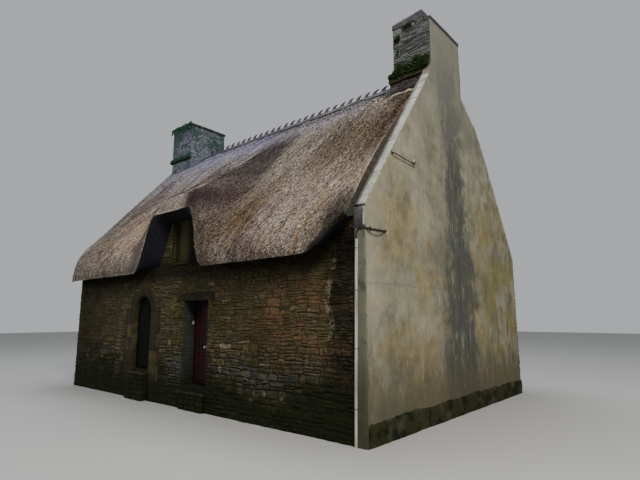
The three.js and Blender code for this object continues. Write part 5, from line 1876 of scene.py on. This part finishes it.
for side, name in ((-1, "left"), (1, "right")):
    whole(f"arch_jamb_{name}_blocks", jamb_blocks(side, 130 + side), dressed, "dressed_stone",
          replaces=[f"arch_jamb_{name}"], seed=130 + side, smooth=False)
whole("arch_head_halves", arch_halves(), dressed, "dressed_stone", tone=0.3)
lintel = block((LINTEL["x"][0], -0.008, DOOR["head"] + 0.001),
               (LINTEL["x"][1], WALL - 0.001, LINTEL["top"] - 0.002), 0.014, 0.07, 0.006, 150, 0.10)
whole("door_lintel_stone", [lintel], dressed, "dressed_stone", replaces=["door_lintel"], tone=0.05)
for name, (x0, x1), out, top, beds, tone in (
    ("doorstep", (-4.910, -4.020), 0.100, 0.375, 4, 1.0),
    ("arch_step", (-7.110, -6.300), 0.170, 0.640, 6, 0.75),
):
    tread = block((x0, -out, top - 0.048), (x1, -0.014, top), 0.012, 0.06, 0.005, 160, 0.10)
    whole(f"{name}_slab", [tread], dressed, "dressed_stone", tone=tone)
    parts = []
    for z0, z1 in itertools.pairwise(np.linspace(0.0, top - 0.050, beds)):
        parts += slabs((x0 + 0.01, -out + 0.015, z0 + 0.002), (x1 - 0.01, -0.014, z1 - 0.002), 0,
                       (0.14, 0.26), 161, radius=0.018, wear=0.012, gap=0.012)
    whole(f"{name}_stones", parts, schist, "dressed_stone", replaces=[name], seed=9)
sill = block((LOFT_DOOR["x"][0] + 0.001, -0.040, LOFT_SILL_Z + 0.001),
             (LOFT_DOOR["x"][1] - 0.001, 0.40, 3.165), 0.010, 0.07, 0.004, 170, 0.10)
whole("loft_sill_stone", [sill], dressed, "dressed_stone", replaces=["loft_sill"], tone=0.2)


# Doors
def planks(x0, x1, y0, y1, z0, z1, count, seed, top_at=None):
    """Upright planks side by side, with small gaps and softened edges, cut at z1 or under top_at(x)."""
    rng = np.random.default_rng(seed)
    parts = []
    wide = (x1 - x0) / count
    for number, (a, b) in enumerate(itertools.pairwise(cut_heights(rng, x0, x1, wide, wide))):
        top = min(top_at(a), top_at(b)) if top_at else z1
        made = block((a + 0.0015, y0, z0), (b - 0.0015, y1, top), 0.004, 0.35, 0.0015, seed + number, 0.35)
        parts.append(shifted(made, (0, rng.uniform(0.0, 0.0012), 0)))
    return parts


def stud(shape, order, size, place, flip=True):
    """A small domed head: a lump with its axes in this order, scaled and placed."""
    points, faces = LUMPS[shape]
    return points[:, order] * size + place, faces[:, ::-1] if flip else faces


STRAP_HIGH = 0.045
STRAP_THICK = 0.0065
PIN_OUTER = 0.0164
PIN_INNER = 0.0098
NAIL_XS = (0.08, 0.19, 0.30, 0.42)


def straps(hinge, back_y, levels):
    """Long iron straps, tapered to a point, with nails and a knuckle round the pin."""
    parts = []
    turns = round_turns(24)
    for z in levels:
        middle, top = z + STRAP_HIGH / 2, z + STRAP_HIGH
        outline = [(hinge + 0.004, z + 0.002), (hinge + 0.40, z + 0.006), (hinge + 0.47, z + 0.004),
                   (hinge + 0.52, middle), (hinge + 0.47, z + 0.041), (hinge + 0.40, z + 0.039),
                   (hinge + 0.004, z + 0.043)]
        parts.append(plate(outline[::-1], STRAP_THICK, lambda a, b, depth: (a, back_y - 0.0005 + depth, b)))
        for x in NAIL_XS:
            parts.append(stud(0, (0, 2, 1), (0.014, 0.010, 0.014), (hinge + x, back_y + 0.006, middle)))
        rings = [
            (hinge + radius * math.cos(t), back_y + 0.014 + radius * math.sin(t), height)
            for radius, height in ((PIN_OUTER, z), (PIN_OUTER, top), (PIN_INNER, top), (PIN_INNER, z))
            for t in turns
        ]
        parts.append((np.array(rings), ring_faces(4, len(turns), closed=True)))
    return parts


KNOB_X = -4.485
KNOB_Z = 1.285


def turned_knob():
    """Lathe-turned knob on its plate, with the plate's two screws."""
    back = DOOR["reveal"] + CLEAR - 0.0003
    x, z = KNOB_X, KNOB_Z
    profile = [(0.0, -0.0575), (0.010, -0.0572), (0.020, -0.0550), (0.027, -0.0500), (0.030, -0.0430),
               (0.027, -0.0360), (0.018, -0.0310), (0.012, -0.0270), (0.0115, -0.0180), (0.014, -0.0110),
               (0.021, -0.0080), (0.022, -0.0060)]
    sides = 32
    points = [
        (x + radius * math.cos(t), back + depth, z + radius * math.sin(t))
        for radius, depth in profile for t in round_turns(sides)
    ]
    knob = (np.array(points), ring_faces(len(profile), sides))
    rose = block((x - 0.032, back - 0.006, z - 0.118), (x + 0.032, back, z + 0.032), 0.0028, 0.02, 0.0, 0)
    screws = [
        stud(1, (0, 2, 1), (0.009, -0.006, 0.009), (x, back - 0.006, z + up), flip=False)
        for up in (-0.105, 0.022)
    ]
    whole("front_door_knob_turned", [knob], nickel, "nickel", "front_door_leaf",
          replaces=["front_door_knob"], tone=0.5)
    whole("front_door_knob_plate", [rose, *screws], iron, "iron", "front_door_leaf", tone=0.5)


def hang_leaf(name, body, hinge, width, sill, head, reveal, finish, slot, count, seed, node):
    x0, x1 = hinge + 0.020, hinge + width
    y0, y1 = reveal + CLEAR, reveal + CLEAR + LEAF
    bottom, top = sill + CLEAR + 0.003, head - CLEAR
    levels = (bottom + 0.22, top - 0.30)
    boards = planks(x0, x1, y0, y1 - 0.018, bottom, top, count, seed)
    for z in (levels[0] - 0.04, (bottom + top) / 2 - 0.06, levels[1] - 0.04):
        boards.append(block((x0 + 0.02, y1 - 0.018, z), (x1 - 0.02, y1, z + 0.125), 0.004, 0.3, 0.001,
                            seed))
    whole(f"{name}_planks", boards, finish, slot, body, replaces=[node], seed=seed)
    whole(f"{name}_straps", straps(hinge, y1, levels), iron, "iron", body, seed=seed, smooth=False)


hang_leaf("front_door", "front_door_leaf", -4.980, 0.990, DOOR["sill"], DOOR["head"], DOOR["reveal"],
          red_paint, "door_paint", 6, 180, "front_door")
hang_leaf("arched_door", "arched_door_leaf", -7.145, 0.870, ARCH["sill"], 2.530, ARCH["reveal"],
          black_stain, "dark_wood", 6, 190, "arched_door")
kick = block((-7.090, ARCH["reveal"] + 0.0005, 0.722), (-6.325, ARCH["reveal"] + CLEAR + 0.002, 0.900),
             0.003, 0.2, 0.001, 3)
whole("arched_door_kick_board", [kick], black_stain, "dark_wood", "arched_door_leaf", tone=0.4)
turned_knob()


def loft_boards():
    x0, x1 = LOFT_DOOR["x"]
    back = LOFT_DOOR["back"]
    boards = planks(x0 + 0.002, x1 - 0.002, back, back + 0.022, 3.167, None, 5, 200,
                    lambda x: soffit_z(x) - 0.004)
    for z in (3.36, 3.92):
        boards.append(block((x0 + 0.03, back + 0.022, z), (x1 - 0.03, back + 0.035, z + 0.10), 0.004, 0.2,
                            0.001, 8))
    whole("loft_door_boards", boards, old_boards, "old_wood", replaces=["loft_door"], seed=5)


loft_boards()
bell = block((-4.9297, 0.235, 1.775), (-4.914, 0.275, 1.845), 0.003, 0.01, 0.0, 0)
button = stud(2, (2, 1, 0), (0.010, 0.018, 0.018), (-4.915, 0.255, 1.812))
whole("front_door_bell_button", [bell, button], pvc, "white_plastic", replaces=["front_door_bell_push"],
      tone=0.5)


# Floors and beams
def lay_flags():
    rng = np.random.default_rng(210)
    stones = lay_courses(rng, lambda low, high: [(WALL - LENGTH, -WALL)], [WALL, DEPTH - WALL],
                         course=(0.42, 0.62), length=(0.5, 0.9), thin=(0.42, 0.62), big=1.0)
    points, faces = split_stones(rng, stones, FRONT, joint=0.012, proud=(0.002, 0.004), wave=0.02)
    laid = np.stack([points[:, 0], points[:, 2], FLOOR_TOP - points[:, 1] * 0.6], axis=1)
    piece("floor_flags", laid, faces, [flags], slot="earth",
          tones=np.repeat(rng.beta(2, 2, len(stones)), POINTS_PER_STONE))


lay_flags()
loft_boards_laid = slabs((-LENGTH + WALL + 0.02, WALL + 0.012, LOFT_FLOOR[0] + 0.001),
                         (-WALL - 0.40, DEPTH - WALL - 0.012, LOFT_FLOOR[1]), 1, (0.18, 0.24), 220,
                         radius=0.003, wear=0.001, gap=0.004, cell=0.50)
whole("loft_floor_boards", loft_boards_laid, hewn_oak, "old_wood", seed=11)
for number, x in enumerate(BEAM_XS, 1):
    beam = block((x - 0.1, 0.432, 2.7497), (x + 0.1, DEPTH - 0.432, 2.9697), 0.018, 0.12, 0.006,
                 230 + number, 0.3)
    whole(f"loft_beam_{number}_hewn", [beam], hewn_oak, "old_wood", replaces=[f"loft_beam_{number}"],
          tone=0.4)


# Ironwork and the cable guard
def ring_of(centre, radius, thick, first, turn_through=2 * math.pi, sides=28):
    """A round bar bent to a ring or a part of one, in the plane of z and the first axis."""
    angles = np.linspace(0, turn_through, sides + 1)
    path = np.tile(np.asarray(centre, float), (len(angles), 1))
    path[:, first] += radius * np.cos(angles)
    path[:, 2] += radius * np.sin(angles)
    return tube(path, thick, 8)


def brackets():
    low = [(-0.137, -0.027, 3.171), (-0.137, -0.027, 3.260), (-0.102, -0.027, 3.320),
           (-0.030, -0.027, 3.330), (0.018, -0.010, 3.335), (0.017, 0.100, 3.340), (0.017, 0.575, 3.360)]
    loop = [(0.016, 0.020, 3.318), (0.020, 0.120, 3.275), (0.020, 0.300, 3.255), (0.020, 0.470, 3.290),
            (0.018, 0.570, 3.350)]
    parts = [
        tube(smooth_path(low, 10), 0.014, 10),
        tube(smooth_path(loop, 10), 0.005, 8),
        ring_of((0.017, 0.600, 3.360), 0.024, 0.007, 1),
        block((0.0, 0.130, 3.30), (0.010, 0.170, 3.385), 0.003, 0.05, 0.0005, 1),
    ]
    ring = ring_of((0.019, 0.612, 3.322), 0.018, 0.006, 0)
    whole("lower_bracket_ring", [ring], porcelain, "white_plastic", tone=0.5)
    whole("lower_bracket_forged", parts, iron, "iron", replaces=["lower_iron_bracket"], tone=0.5)
    high = [(0.0005, 0.885, 4.828), (0.030, 0.885, 4.828), (0.045, 0.910, 4.827), (0.045, 1.250, 4.814),
            (0.045, 1.590, 4.800), (0.045, 1.640, 4.808), (0.045, 1.652, 4.860)]
    parts = [
        tube(smooth_path(high, 8), 0.009, 10),
        ring_of((0.045, 1.622, 4.868), 0.030, 0.007, 1, 1.2 * math.pi, 18),
        block((-0.002, 0.855, 4.795), (0.010, 0.915, 4.862), 0.003, 0.05, 0.0005, 2),
    ]
    whole("upper_bracket_forged", parts, iron, "iron", replaces=["upper_iron_bracket"], tone=0.5)
    profile = [(0.012, 0.0), (0.024, 0.006), (0.026, 0.016), (0.017, 0.024), (0.022, 0.032), (0.024, 0.042),
               (0.012, 0.052), (0.001, 0.054)]
    path = [(0.045, 1.600, 4.835 + along) for _, along in profile]
    insulator = tube(path, [radius for radius, _ in profile], 20)
    whole("upper_bracket_insulator", [insulator], porcelain, "white_plastic", tone=0.5)


CLIP_RADIUS = 0.0295
CLIP_EAR_OUT = 0.041


def guard_clips():
    """Iron clips over the cable guard, each with two flat ears on the wall."""
    clips = []
    for z in (0.55, 1.45, 2.35, 3.02):
        middle = GUARD_FOOT_X + GUARD_LEAN * z
        turn = np.linspace(-0.1 * math.pi, 1.1 * math.pi, 18)
        path = [(middle + CLIP_RADIUS * math.cos(t), -0.028 - CLIP_RADIUS * math.sin(t), z) for t in turn]
        clips.append(tube(path, 0.004, 8))
        for ear in (middle - CLIP_EAR_OUT, middle + CLIP_EAR_OUT):
            low, high = (ear - 0.010, -0.014, z - 0.009), (ear + 0.010, -0.008, z + 0.009)
            clips.append(block(low, high, 0.002, 0.05, 0.0003, 1))
    whole("guard_clips", clips, iron, "iron", tone=0.5)


brackets()
guard_clips()


# The rest of the frame takes its finishes from here
STAYS = {
    mortar: ["front_wall_left", "front_wall_between_doors", "front_wall_right", "front_wall_over_doors",
             "loft_wall_left", "loft_wall_right", "back_wall", "party_wall_left", "gable_wall_right",
             "chimney_right_foot", "chimney_right_stack", "chimney_left_stack", "arch_head"],
    dressed: ["arch_threshold", "door_threshold"],
    hewn_oak: ["arch_inner_lintel", "loft_floor"],
    flags: ["ground_floor"],
    pvc: ["corner_cable_guard"],
    iron: ["front_door_pintle_1", "front_door_pintle_2", "arched_door_pintle_1", "arched_door_pintle_2"],
}
for finish, nodes in STAYS.items():
    for node in nodes:
        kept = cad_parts[node]
        for place in kept.material_slots:
            place.material = finish
